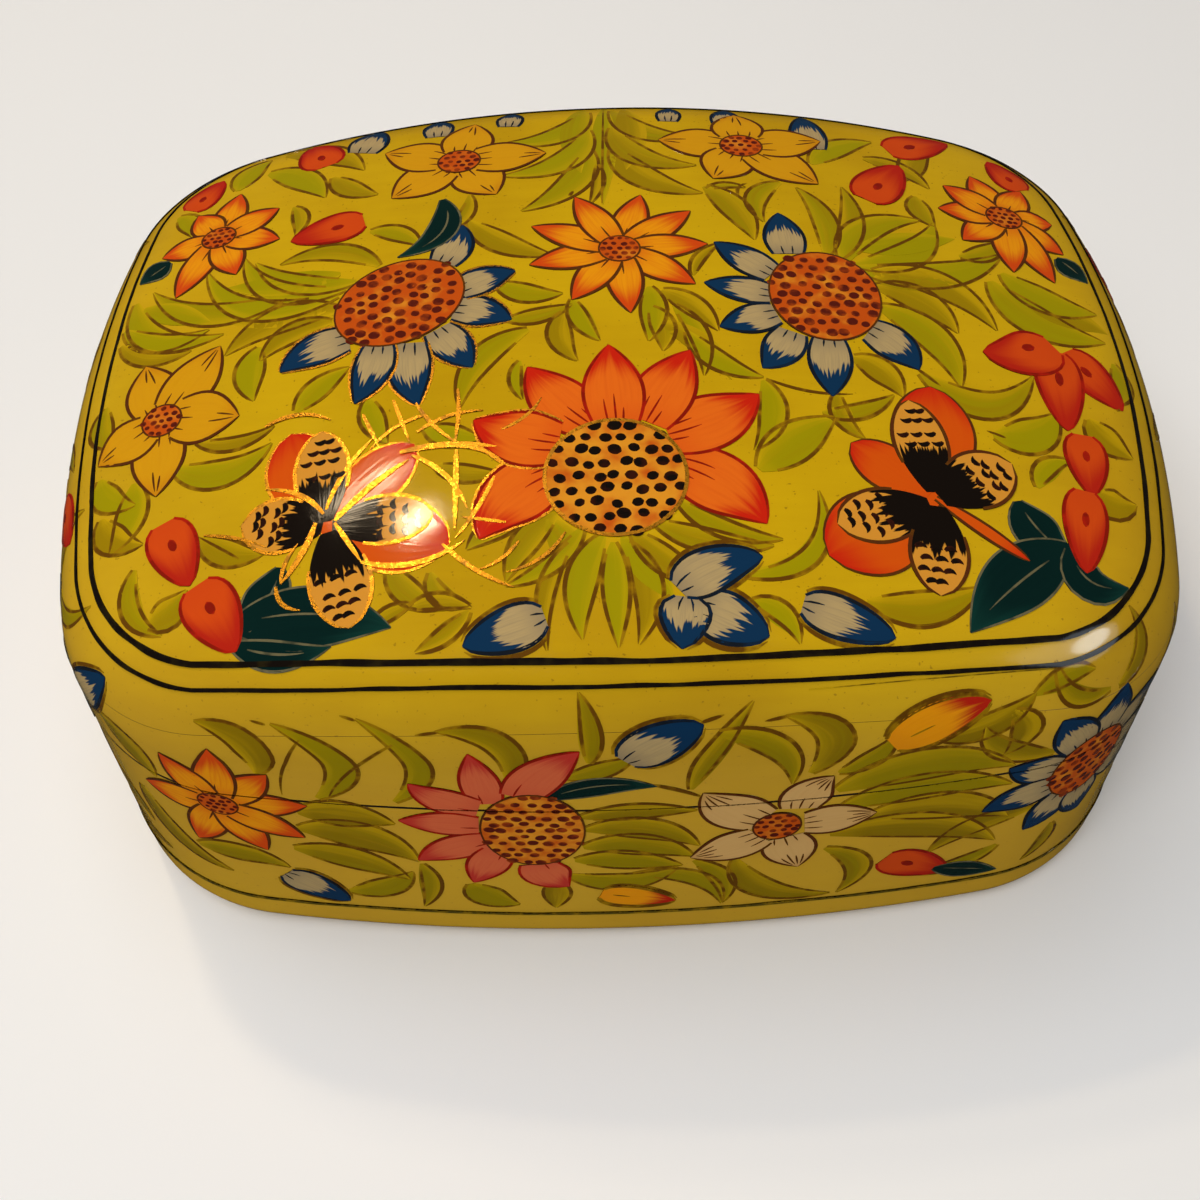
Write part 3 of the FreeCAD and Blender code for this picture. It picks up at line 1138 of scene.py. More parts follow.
def heart(
    brush, x, y, across_x, across_y, turn=0.0, seeds="seed_brown", pitch=1.35, gilt=False, red=0.6
):
    """Seed bed of a flower: a dabbed oval, rows of seeds and a fine rim.

    turn tilts the oval, in degrees. red is how far its paint leans to the redder colour.
    """
    way = heading(math.radians(turn))
    square = np.array([-way[1], way[0]])
    shares = -np.cos(np.linspace(HEART_CUT, np.pi - HEART_CUT, HEART_ROWS))
    line = np.array([x, y]) + shares[:, None] * across_x * way
    widths = across_y * np.sqrt(1 - shares**2)

    def from_middle(places):
        """How far places lie from the oval's middle, as a share of the way to its rim."""
        offset = places - brush.moved([[x, y]])[0]
        return np.hypot(offset @ way / across_x, offset @ square / across_y)

    brush.mark("seed_bed", "heart", line, widths, HEART_COLUMNS, red, from_middle)
    draws = scatter(x, y)
    rows = int(across_y * 2 / pitch) + 2
    for row in range(-rows, rows + 1):
        for column in range(-rows - 3, rows + 4):
            u = (column + 0.5 * (row % 2)) * pitch + draws.uniform(-SEED_SHIFT, SEED_SHIFT) * pitch
            v = row * pitch * SEED_ROW + draws.uniform(-SEED_SHIFT, SEED_SHIFT) * pitch
            size = pitch * draws.uniform(*SEED_SIZES)
            lean = draws.uniform(-SEED_TILT, SEED_TILT)
            if (u / across_x) ** 2 + (v / across_y) ** 2 > 1.0 - SEED_MARGIN * pitch / across_y:
                continue
            spot = np.array([x, y]) + u * way + v * square
            dab(brush, seeds, "seed", spot, size * heading(lean), size * SEED_WIDTH)
    angles = np.linspace(0, 2 * np.pi, HEART_RIM_POINTS)
    rim = np.array([x, y]) + across_x * np.cos(angles)[:, None] * way
    rim = rim + across_y * np.sin(angles)[:, None] * square
    paint, lift, pen = HEART_PENS[gilt]
    brush.mark(paint, lift, rim, np.full(len(rim), pen), 2)


# Petals of a star and of a daisy start this share of the way out to the heart's rim
STAR_FOOT = 0.8
DAISY_FOOT = 0.92
# A star's heart: its height as a share of its length, and the pitch of its seeds
STAR_HEART = 0.95
STAR_PITCH = 0.42
# Petals of a daisy differ in length by this share, in this rhythm, and bend by this share
DAISY_UNEVENNESS = 0.12
DAISY_RHYTHM = 2.4
DAISY_BEND = 0.05


def star(brush, kind, x, y, inner, tips, half_width):
    """Small flower whose petals start from a round heart and end at the given tips."""
    for tip_x, tip_y in tips:
        away = np.array([tip_x - x, tip_y - y])
        start = np.array([x, y]) + away / np.linalg.norm(away) * inner * STAR_FOOT
        petal(brush, kind, *start, tip_x, tip_y, half_width)
    heart(brush, x, y, inner, inner * STAR_HEART, pitch=inner * STAR_PITCH)


def daisy(brush, kind, x, y, across_x, across_y, reach, count, half_width, first=0.0):
    """Flower with evenly spread petals, which bend to either side in turn."""
    for index in range(count):
        way = heading(first + 2 * math.pi * index / count)
        start = np.array([x, y]) + way * [across_x, across_y] * DAISY_FOOT
        stretch = 1.0 + DAISY_UNEVENNESS * math.sin(index * DAISY_RHYTHM)
        tip = start + way * reach * stretch
        petal(brush, kind, *start, *tip, half_width, DAISY_BEND * (-1) ** index)
    heart(brush, x, y, across_x, across_y)


# Brown line round a blue or yellow bud: gap and half width in millimetres
CUP_GAP = 0.38
CUP_PEN = PEN * 1.1
# Spot on a red bud: its place and its reach along the bud, and its half width, as shares of the bud's
SPOT_PLACE = 0.36
SPOT_REACH = 0.09
SPOT_WIDTH = 0.17


def bud(brush, kind, x0, y0, x1, y1, half_width, bend=0.0):
    """Closed bud, round at its foot and pointed at its tip."""
    petal(brush, kind, x0, y0, x1, y1, half_width, bend, BUD_BELLY)
    if kind == "bud":
        run = np.array([x1 - x0, y1 - y0])
        spot = np.array([x0, y0]) + run * SPOT_PLACE
        dab(brush, "red_pen", "heart", spot, run * SPOT_REACH, half_width * SPOT_WIDTH)
        return
    line = middle_line((x0, y0), (x1, y1), bend)
    cup = swell(len(line), half_width, BUD_BELLY) + CUP_GAP
    for side in (-1, 1):
        pen_stroke(brush, "brown_pen", "leaf pen", beside(line, side * cup), CUP_PEN)


# Rows of dark spots on a wing's patch: share of its length, and places across it
WING_SPOTS = (
    (0.55, (-0.7, -0.1, 0.45)), (0.67, (-0.5, 0.1, 0.7)),
    (0.79, (-0.7, -0.1, 0.45)), (0.90, (-0.5, 0.1)),
)
# Spots keep to this share of the patch. Reach to either side and half width in millimetres, bend
# and shape of a spot
SPOT_ROOM = 0.9
WING_SPOT_REACH = 0.50
WING_SPOT_WIDTH = 0.25
WING_SPOT_BEND = 0.26
WING_SPOT_BELLY = (0.12, 0.9, 0.8)
# Gap in millimetres between a patch and the line round it
PATCH_GAP = 0.05


def wing(brush, kind, whole, patch):
    """Butterfly wing. whole and patch are foot, tip and half width, or None.

    A patch is tan, with a fringed black foot and rows of dark spots.
    """
    if whole:
        petal(brush, kind, *whole, belly=WING_BELLY)
    if not patch:
        return
    line = middle_line(patch[0:2], patch[2:4], 0.0)
    widths = swell(len(line), patch[4], WING_BELLY)
    brush.mark("wing_patch", "heart", line, widths, PETAL_COLUMNS)
    for side in (-1, 1):
        rim = beside(line, side * (widths + PATCH_GAP))[len(line) // 3:]
        pen_stroke(brush, KINDS[kind][1], "seed", rim)
    for share, places in WING_SPOTS:
        at = int(share * (len(line) - 1))
        travel = (line[at] - line[at - 1]) / np.linalg.norm(line[at] - line[at - 1])
        left = np.array([-travel[1], travel[0]])
        for across in places:
            middle = line[at] + left * across * widths[at] * SPOT_ROOM
            ends = (middle - left * WING_SPOT_REACH, middle + left * WING_SPOT_REACH)
            spot = middle_line(*ends, WING_SPOT_BEND)
            spot_widths = swell(len(spot), WING_SPOT_WIDTH, WING_SPOT_BELLY)
            brush.mark("seed_black", "line", spot, spot_widths, 2)


# Places on the crown are (x, y) in plan. A mark's row is its foot, its tip, its half width and, where
# it isn't straight, its bend.
RED_FLOWER = [
    (-5.4, -17.6, -11.6, -23.6, 2.9, -0.1), (-5, -14.6, -12.2, -11.6, 2.8, 0.06),
    (5, -17.2, 11.8, -22.9, 2.9, 0.08), (4.2, -14, 12.2, -9.6, 2.8, -0.06),
    (-2.4, -12.6, -7.6, -6, 2.5, 0.04), (2.4, -12.6, 6.6, -4.6, 2.6),
    (-0.1, -12.6, -0.5, -3.8, 2.6),
]
BLUE_FLOWER_LEFT = [
    (-23.6, -0.6, -29.6, -3.6, 2, -0.08), (-20.8, -1.9, -22.6, -8.5, 1.8, 0.05),
    (-15.6, -0.6, -12.4, -5.6, 1.8), (-18, -2, -17, -9.4, 1.9, -0.05),
    (-14.2, 1.8, -9, -0.1, 1.8, 0.05), (-13.8, 4.2, -8.7, 6.3, 1.7, 0.05),
    (-15.4, 8.2, -13.7, 13.6, 1.8, -0.05),
]
BLUE_FLOWER_RIGHT = [
    (16.5, 8.3, 16.1, 14.4, 1.9), (14.7, 5.4, 9.7, 9.7, 1.7), (14.4, 2.6, 8.4, 4, 1.6),
    (14.6, 0.1, 9.4, -1.7, 1.7), (15.8, -2.1, 12.8, -6.6, 1.8, 0.05),
    (19, -2.8, 18.6, -9.6, 1.9), (22.9, -1.4, 26.7, -5.9, 2, 0.08),
]
YELLOW_FLOWER = [
    (-40.6, -6, -42.6, 0.2, 2.5), (-39.4, -5.8, -35.6, 1, 2.5),
    (-40.1, -8.4, -39.6, -15.4, 2.4), (-41.2, -7.6, -45.6, -10.6, 2.4),
    (-38.8, -7, -32.9, -8, 2.9),
]
STAR_TIPS = [
    (-3.1, 16.9), (3.2, 17), (7.8, 14.4), (9.1, 9.4), (7.6, 3.8), (1.6, 0.1), (-3.6, 2),
    (-7.4, 7), (-7.2, 12.6),
]
RIM_PETALS = [
    (-24.4, 28.4, -22.9, 33.2, 2), (-16.8, 29.8, -16.7, 33.8, 1.5),
    (-9.6, 30.6, -9.2, 34, 1.3), (6.6, 30.6, 6.8, 34, 1.2),
    (12.3, 29.8, 12.6, 33.9, 1.4), (20.8, 26, 20.4, 33, 1.8),
]
BACK_STARS = [
    ("yellow", -14.4, 24.5, 2.1, 2.6, [
        (-5.8, 24.9), (-10.6, 18.2), (-20.8, 19.2), (-22, 27.6), (-13, 31.6),
    ]),
    ("yellow", 13.6, 25.9, 2.1, 2.6, [
        (5.4, 26.8), (10.4, 19.8), (20.6, 19.6), (21.8, 27.6), (13.4, 32.2),
    ]),
    ("star", -37.8, 17.2, 1.7, 1.7, [
        (-36.5, 24.4), (-40.6, 21.9), (-43.4, 15.8), (-41, 9), (-35.3, 10.8), (-31.5, 15.2),
        (-32.1, 20.4),
    ]),
    ("star", 38.8, 17.2, 1.8, 1.7, [
        (32.2, 17.4), (33.4, 21.5), (36.6, 24), (41.6, 22.6), (43.8, 17.4), (43.9, 12.6),
        (42, 7.9), (38.1, 8.6), (33.8, 12.6),
    ]),
]
CROWN_BUDS = [
    ("bud", -23.3, 16.1, -30.3, 14.4, 2.2), ("bud", 25, 17.6, 29.3, 24.2, 2.4),
    ("bud", -28, 26.8, -29.8, 31.8, 2.3), ("bud", 28.6, 27, 35.5, 30.4, 2.2),
    ("bud", -41.6, 23.2, -38.8, 27.8, 1.8), ("bud", 41.8, 22.8, 39.2, 27.6, 1.8),
    ("bud", -38.6, -18.4, -35.6, -24.9, 2.1), ("bud", -35, -25, -31.2, -31.3, 2.3),
    ("bud", 40.6, -11.5, 40.2, -18, 1.9), ("bud", 39.6, -17.6, 38.2, -25.8, 1.9),
    ("bud", 39.9, -1.1, 33, -2.9, 2.6, 0.1), ("bud", 41, -1.6, 45.2, -7.8, 2.1),
    ("bud", 39.9, -1.8, 39.3, -11.2, 2.2),
    ("blue", -6.4, -30.9, -12.9, -32.9, 1.85), ("blue", 5.9, -30.4, 11.2, -32.9, 2.1),
    ("blue", 4.9, -29.6, 4.3, -33.8, 2), ("blue", 4.3, -28.9, 11.2, -26, 2, 0.08),
    ("blue", 14.1, -30.2, 21.3, -32.7, 1.75),
]
DARK_LEAVES = [
    (-28, -24.4, -31.6, -30, 1.9, 0.1), (-31.8, -29.2, -18.6, -30.9, 2.7, 0.06),
    (-31.8, -30.6, -23.4, -31.9, 1.1, -0.1), (33.3, -19.4, 37.4, -24.6, 2.1, -0.12),
    (37.2, -23.4, 27.5, -31.9, 2.7, -0.05), (37, -23.6, 41.8, -26.6, 1.8, -0.34),
    (-15.8, 18, -19.7, 9.7, 1.5, 0.24), (-42.4, 14.8, -45.2, 12.6, 1.5),
    (43, 11.8, 45.6, 9, 1.5),
]
LEAVES = [
    # below the red flower
    (-5.2, -21.4, -9.4, -27.6, 1.2, -0.08), (-7, -20.8, -12.6, -24.5, 1.3, -0.05),
    (-3.2, -23, -9.5, -28, 0.9, 0.1), (-1.5, -23.8, -3.4, -32.9, 1.3, -0.1),
    (-0.8, -24.5, -0.7, -33.6, 1.1), (0.3, -24.6, 0.9, -33.4, 1.2, 0.14),
    (0.8, -23.5, 7, -28.7, 1.2, -0.05), (2.6, -22.6, 12.2, -24.9, 1.1, -0.08),
    (4.6, -20.5, 13, -24.3, 1, -0.1), (11.6, -17.6, 18.6, -11.9, 2, 0.02),
    (9.5, -27.6, 16.3, -19.6, 0.9, -0.28), (10, -30, 13.6, -33.4, 1, 0.15),
    (-17.2, -29.4, -12.2, -29.8, 0.8, 0.1), (-12.4, -30, -16.7, -33, 0.8, 0.06),
    (-15.5, -26.3, -12.2, -29.4, 0.9, -0.2), (-7.5, -1.5, -13.4, -10.2, 1.3, -0.15),
    (-8.2, -5.2, -8, -9.6, 0.6, -0.1), (-16.4, -12, -11.4, -13.5, 1.2, -0.05),
    (-15.4, -16, -9.8, -17.2, 1, -0.06), (-4.3, 0.5, -3.2, -5.5, 1.1, -0.15),
    (3.4, 0.8, 4.2, -4.6, 1.1, 0.1), (-9.5, 0, -3.6, 1.5, 1, -0.05),
    (5.5, 1, 7.6, -7.5, 1, 0.1), (6.5, -2.3, 12.8, -7.6, 1.1, -0.12),
    (12.7, -8, 11.3, -15.6, 1.2, 0.15), (-4.2, -24.5, -6.2, -33.6, 0.8, -0.1),
    # right of it
    (20.9, -4.9, 24.8, -9.2, 1.4, 0.12), (19.2, -9, 20.9, -14, 0.9, -0.15),
    (26.8, -6.2, 37.2, -5.2, 1.6, -0.34), (24, 1.8, 30.2, -7.6, 1.8, 0.16),
    (32.3, -12.6, 38.6, -9.2, 1.9, -0.18), (35.4, -17.8, 39, -14.6, 1, 0.15),
    (41.6, -9.5, 45, -13.2, 1.6, -0.1), (40.4, -17.4, 44.2, -18.2, 1.6, -0.2),
    (19.3, -29.8, 28.9, -27.9, 1.5, -0.12), (17.5, -11.4, 24, -9, 0.9, -0.1),
    # left of it
    (-38.4, -12.6, -29.7, -11.6, 1.5, -0.22), (-41.8, -13.5, -43.2, -20.6, 1.4, 0.1),
    (-45.2, -12.2, -41.4, -15.8, 1.3, -0.18), (-44.4, -16.6, -40.2, -20, 1.4, -0.18),
    (-35.1, -20.4, -29.4, -22.8, 1.3, -0.12), (-39, -27.9, -35.9, -25.2, 1.5, -0.12),
    (-40.6, -22.5, -37.6, -29, 0.9, -0.2), (-27.8, -8.5, -23.3, -4.1, 1.2, 0.05),
    (-21.4, -8, -19.5, -13.2, 1.1, -0.06), (-31.8, 0, -31.7, -6.5, 1.4, -0.1),
    (-36.5, -10.2, -29.6, -9.7, 0.8, -0.14), (-20.2, -30.8, -16.8, -29, 0.7, 0.05),
    (-18.9, -25.3, -14.4, -29.6, 1.1, -0.12), (-45.8, -3.8, -44.2, -9, 1.2, -0.16),
    # behind, left
    (-23.4, 7, -33.4, 12, 1.3, 0.15), (-24.3, 6.2, -34.6, 13, 1.4, 0.22),
    (-25, 5.4, -38.2, 12, 1.4, 0.25), (-24.6, 3.3, -35, -0.4, 1.8, -0.15),
    (-25.3, 1.9, -31.6, -1.8, 1.3, -0.15), (-21.4, 8.8, -31, 11, 1.2, -0.18),
    (-30, 6.3, -43.4, 10.6, 1.5, 0.2), (-45, 9.6, -35.5, 2.6, 1.5, -0.26),
    (-45.6, 6, -37, 3.6, 1.2, -0.2), (-34, 27.4, -27.6, 21, 1.7, 0.1),
    (-32.6, 30.6, -24, 25, 1.7, 0.12), (-27, 24.5, -22.2, 20.3, 1.3, -0.1),
    (-30.6, 20.2, -30, 15.4, 0.9, 0.1), (-22.6, 14.2, -17.6, 11, 1.1, 0.12),
    (-42.8, 22.6, -40.8, 18.4, 1.2, 0.1), (-37, 25.2, -34, 30.2, 1.5, 0.1),
    (-45.6, 4, -38.4, 1.2, 1, -0.18),
    # behind, middle
    (0.9, 25.6, 9.2, 17.4, 1.7, -0.16), (0.9, 29.4, 8.9, 22.2, 1.6, -0.22),
    (1, 33.4, 9.6, 27.6, 1.5, -0.22), (-1.6, 25.4, -8.2, 15.2, 1.6, 0.15),
    (-1.6, 29, -10.2, 21.3, 1.6, 0.22), (-1.6, 33, -10, 27.4, 1.5, 0.22),
    (-0.9, 22.4, -1.7, 15.8, 0.6, 0.06),
    (-13.1, 14.2, -5.2, 8.3, 1.4, -0.1), (9.4, 18.5, 13.5, 10.2, 1.5, 0.08),
    (16.9, 19.5, 14.7, 13, 1.1, -0.22), (-10.4, 5, -4.4, 3, 1.2, -0.12),
    (-3.5, 2.2, -1.2, -3.2, 1, -0.06), (3.4, 3.5, 3, -3.4, 1.2, 0.05),
    (4.5, 3, 9.2, -2.2, 1.2, 0.08), (7.5, 5, 10.2, 9.5, 0.6, 0.1),
    (-13.2, 18.4, -17, 12.6, 0.8, 0.2), (9.6, 18, 13.4, 18.4, 0.5, 0.12),
    # behind, right
    (21.6, 7.4, 30, 14.9, 1.7, 0.18), (22.5, 7.3, 31.2, 14.8, 1.7, -0.17),
    (22.4, 6.9, 37.4, 11.2, 1.8, -0.14), (24.1, 6.4, 34.8, 0, 1.8, 0.18),
    (24.1, 4.4, 31, -0.9, 1.7, 0.15), (20.9, 7.8, 22.8, 19.4, 1.2, -0.1),
    (20, 8.3, 18.3, 18.8, 1.2, -0.12), (35.4, 6.8, 45.4, 0.6, 2.2, -0.18),
    (36.8, 8.2, 45.4, 4.4, 1.8, -0.14), (20.4, 23.2, 27.2, 28.4, 1.5, 0.1),
    (30.2, 21.6, 33.2, 28, 1.4, 0.1), (25.8, 25, 31.8, 20.6, 1.1, 0.12),
    (30.2, 19, 31.4, 14.3, 1.2, -0.1), (33, 10, 37.8, 13.4, 1.1, -0.12),
    (45.6, -2, 44.4, -7.4, 1.1, 0.14),
]
# Washes without outlines, where the leaves run together
WASHES = [
    (0.2, 34, -0.4, 15.6, 1.3), (2.2, 33.8, 2, 21.4, 1.6, 0.05),
    (-2, 33.8, -2.4, 21, 1.6, -0.05), (23, 9.6, 33, 12.6, 1.6),
    (24, 5.2, 33, 5.6, 1.6, 0.06), (-25, 8.4, -36, 9, 1.6, 0.06),
    (-26, 3.6, -38, 7, 1.5, 0.1), (-6, -22, -2, -29, 1.4),
    (0, -24, 4, -30, 1.3), (38, 5, 46, 2, 1.8),
    (-44, 8.4, -37, 4.6, 1.4), (4, -1, 10, -8, 1.2, 0.1),
]
TWIGS = [
    (-0.5, 15.8, 0.1, 34, 0.14), (13, -7.8, 20.4, -9.2, 0.16, -0.08),
    (26.6, -5.8, 28.4, -7.6, 0.2), (33.4, -12.8, 31.8, -12.2, 0.14),
    (-31.6, -23, -35.4, -20.2, 0.14), (12.6, 17.2, 13.6, 19.2, 0.2, 0.2),
    (44.6, -8, 45.4, -7, 0.2), (-3.6, 17.2, -3.2, 18, 0.2),
]
# Gold lines round the left butterfly: foot, tip, half width and bend
GOLD_LINES = [
    (-24.4, -19.4, -20.8, -12.6, 0.22, 0.06), (-21.8, -9.8, -20.2, -13.6, 0.18),
    (-19.2, -8.6, -17.6, -13.4, 0.18), (-16.4, -10.6, -21, -13.8, 0.18, -0.1),
    (-17, -12.4, -11.4, -10.6, 0.18, 0.1), (-18.4, -14.4, -10.2, -14.6, 0.30, 0.06),
    (-17.4, -14.8, -12.6, -20.6, 0.22, 0.1), (-13.6, -14.6, -13.6, -22.6, 0.24),
    (-10.4, -17.6, -13.6, -23.4, 0.20, 0.04), (-13.6, -8, -13.8, -14.2, 0.18, 0.03),
    (-17.2, -9.2, -13.2, -14.2, 0.18, -0.06), (-14.2, -14.2, -9.4, -16.6, 0.20, 0.12),
    (-14.6, -23.8, -8.8, -28.2, 0.20, -0.06), (-23.6, -20.6, -17.6, -15.2, 0.30, 0.04),
    (-24.6, -19.8, -29.8, -16.6, 0.24, -0.12), (-25.2, -20.6, -27.8, -26, 0.28, 0.05),
    (-27.8, -26, -26.6, -22.4, 0.18, 0.1), (-34.8, -20.3, -29.2, -22.4, 0.16, 0.05),
    (-30.4, -9.8, -24.6, -10, 0.22, 0.16), (-23.6, -20.8, -21.2, -24.8, 0.22),
    (-21.2, -24.8, -12.8, -23.6, 0.26, -0.14), (-9.4, -22.2, -13, -21.4, 0.16),
    (-8.4, -24, -11.6, -26.4, 0.16, 0.1), (-28.2, -26.2, -26, -28.6, 0.2, -0.2),
    (-9.8, -12.8, -6.4, -9.6, 0.16, -0.1), (-4.6, -23.4, -9.4, -26.8, 0.16, 0.12),
]
# Wings of the two butterflies: foot, tip and half width of a wing, and those of its patch
RIGHT_WINGS = [
    ((25.6, -19.6, 19.6, -14.6, 2.3), None),
    ((26.5, -19, 27.4, -7.8, 3.6), (26.2, -19.2, 25.2, -9.6, 2.3)),
    ((25.2, -20.8, 16.6, -25.8, 3.9), (25.6, -20.6, 17.6, -22.8, 2.5)),
    (None, (26.6, -19.8, 33.4, -15.6, 2.7)),
    (None, (26.2, -20.6, 25.4, -29, 2.4)),
    ((26.2, -19.8, 33.4, -25.2, 0.6), None),
    ((25.2, -21.4, 26.8, -18.2, 0.8), None),
]
LEFT_WINGS = [
    ((-24, -20.4, -17.2, -13.6, 2.6), None),
    ((-24.9, -20.6, -28, -11, 3.2), (-24.6, -20.6, -25.3, -11.2, 2.3)),
    ((-23.8, -21, -14, -23.8, 3.5), (-23.8, -21, -15.4, -20.9, 2.3)),
    (None, (-24.6, -20.9, -31.6, -19.9, 2.6)),
    (None, (-24, -21.6, -21.9, -30.6, 2.5)),
    ((-25.4, -19.4, -23.4, -22.4, 0.8), None),
]


def paint_crown(brush):
    """Everything painted on the domed top, inside the border lines."""
    for row in LEAVES:
        leaf(brush, *row)
    for row in WASHES:
        leaf(brush, *row, pen=None)
    for row in TWIGS:
        twig(brush, *row)
    for row in DARK_LEAVES:
        petal(brush, "dark", *row, belly=LEAF_BELLY)
    for row in RIM_PETALS:
        petal(brush, "blue", *row)
    for row in BLUE_FLOWER_LEFT:
        petal(brush, "blue", *row, gilt=row[1] < 0 or row[0] > -14.5)
    heart(brush, -19.2, 3.5, 6.2, 5.2, turn=35.0)
    for row in BLUE_FLOWER_RIGHT:
        petal(brush, "blue", *row)
    heart(brush, 19.3, 2.8, 5.1, 5.8)
    for row in YELLOW_FLOWER:
        petal(brush, "yellow", *row)
    heart(brush, -40.1, -7.0, 1.8, 1.8, pitch=0.8)
    star(brush, "star", 0.9, 8.8, 1.9, STAR_TIPS, 1.65)
    for kind, x, y, inner, half_width, tips in BACK_STARS:
        star(brush, kind, x, y, inner, tips, half_width)
    for row in CROWN_BUDS:
        bud(brush, *row)
    for index, row in enumerate(RED_FLOWER):
        petal(brush, "red", *row, gilt=index < 2)
    heart(brush, -0.35, -18.1, 5.9, 5.75, seeds="seed_black", pitch=1.5, gilt=True, red=0.1)
    for kind, wings in (("wing", RIGHT_WINGS), ("gilt wing", LEFT_WINGS)):
        for whole, patch in wings:
            wing(brush, kind, whole, patch)
    for row in GOLD_LINES:
        twig(brush, *row, paint="gold_pen", lift="line")


# Places on the band are (way, rise): millimetres round from the front's middle, and up the wall.
PINK_FLOWER = [
    (-11.9, 26.6, -12.9, 34.5, 1.7), (-12.7, 25.8, -18.3, 29.6, 1.9, 0.1),
    (-12.9, 22.8, -19.8, 23.2, 1.9), (-12.3, 20.1, -18.8, 16, 1.9, -0.04),
    (-11.5, 18.2, -14.1, 12, 1.9), (-8, 15.8, -5.4, 11.4, 2.3, -0.1),
    (-9.2, 27.8, -4, 34.9, 2.2, 0.06),
]
CREAM_FLOWER = [
    (14.6, 23.9, 17.1, 28.9, 2.2, 0.1), (11.6, 22.4, 6.2, 27.7, 2.7, 0.06),
    (15.3, 21.2, 21.6, 21.8, 2.4), (13.7, 18.9, 15.4, 13, 2.4),
    (11.5, 19.5, 5.5, 16.3, 2.4, 0.05),
]
ORANGE_TIPS = [
    (-34.4, 32.6), (-39.6, 30.1), (-43.1, 22.8), (-39.2, 15.5), (-32.5, 15.8), (-28.6, 18.9),
    (-27.5, 24.7), (-30.2, 29.5),
]
BAND_BUDS = [
    ("blue", -0.3, 33.4, 5.8, 37.4, 2.3, 0.04), ("blue", -31.5, 11.4, -26.2, 6.8, 2.1),
    ("gold bud", -2.5, 9.8, 4.4, 7.9, 1.9), ("gold bud", 21.4, 33, 28.9, 36.4, 2.4, 0.05),
    ("bud", 23.5, 12.6, 30, 8.4, 2.3), ("blue", -50.2, 29.6, -45.2, 35.4, 1.9),
]
BAND_LEAVES = [
    (-10, 30.2, -15.2, 36.8, 1.3, -0.36), (-3.3, 33.2, -3.9, 40.6, 0.9, -0.06),
    (-5.2, 30.9, 0.4, 34, 1.2, -0.05), (-19.8, 26.4, -21.4, 37.5, 1.1, -0.3),
    (-26.4, 26.2, -28.4, 36.2, 1.4, -0.36), (-31, 29.5, -34.8, 35.4, 1.5, -0.32),
    (-4.2, 24.2, 5.8, 24.8, 1.3, 0.05), (-3.8, 22, 6.2, 18.4, 1.8, 0.16),
    (-4, 18.8, 5.8, 16.4, 1.9, 0.14), (-4.8, 16.4, 4.8, 14.8, 1.7, 0.06),
    (-5.4, 13.6, 4.4, 14.6, 1.6, -0.2), (0.4, 13.4, 8.7, 6.6, 1.2, 0.24),
    (-28.6, 23.4, -20.2, 22.4, 2.2, 0.08), (-29, 20.4, -18.8, 15.6, 2.4, 0.16),
    (-30, 16.6, -20, 12, 2, 0.1), (-18.6, 15.2, -19.2, 6.6, 1, 0.08),
    (-26, 8.8, -19.6, 13.6, 1.6, -0.12), (-14.4, 11.6, -10.1, 7.6, 1.9, -0.12),
    (-6.6, 12.4, -6.8, 6.9, 1.3), (25.4, 33, 32.6, 36.2, 1.6, -0.12),
    (15, 29.8, 12.2, 37.6, 1.5, -0.36), (5.2, 28.4, 9.7, 39.2, 1, 0.05),
    (7, 36.4, 13.6, 28.2, 1.3, 0.22), (17.6, 26.4, 33, 26.6, 2.6, 0.16),
    (18.4, 23.4, 33.4, 23.4, 2.2, 0.12), (20.8, 21.2, 34.2, 17.4, 2.3, 0.14),
    (17.8, 18.6, 33.8, 13, 2.2, 0.14), (9.6, 15.4, 19, 6.9, 1.6, -0.2),
    (17.6, 16, 19.6, 6.8, 1.3, 0.26), (5.8, 15.6, 8.8, 6.8, 1.1, 0.14),
    (17.4, 29.4, 21.4, 34.4, 1.2, -0.14), (32.6, 36, 38.6, 36.6, 1, 0.1),
    (31, 34.8, 31.6, 28.8, 1.3, 0.24), (-44.4, 20.4, -36.8, 10.4, 1.6, -0.16),
    (-46.6, 30.2, -41.4, 24.8, 1.8, 0.12), (-39.6, 14, -31, 12.6, 1.6, 0.14),
]
BAND_TWIGS = [
    (-14.9, 36.8, -16.8, 36.4, 0.14), (-21.4, 37.4, -22.6, 37.7, 0.14),
    (-18.8, 35.2, -25.6, 25.8, 0.16, -0.08), (-26.3, 34.9, -29.4, 26.3, 0.16, -0.08),
    (-28.8, 36.1, -30, 36.3, 0.14), (12.6, 37.6, 10.6, 37.3, 0.16),
    (5.6, 37.6, 7.4, 38.2, 0.18), (2, 29.4, 6.2, 27, 0.28, 0.04),
]
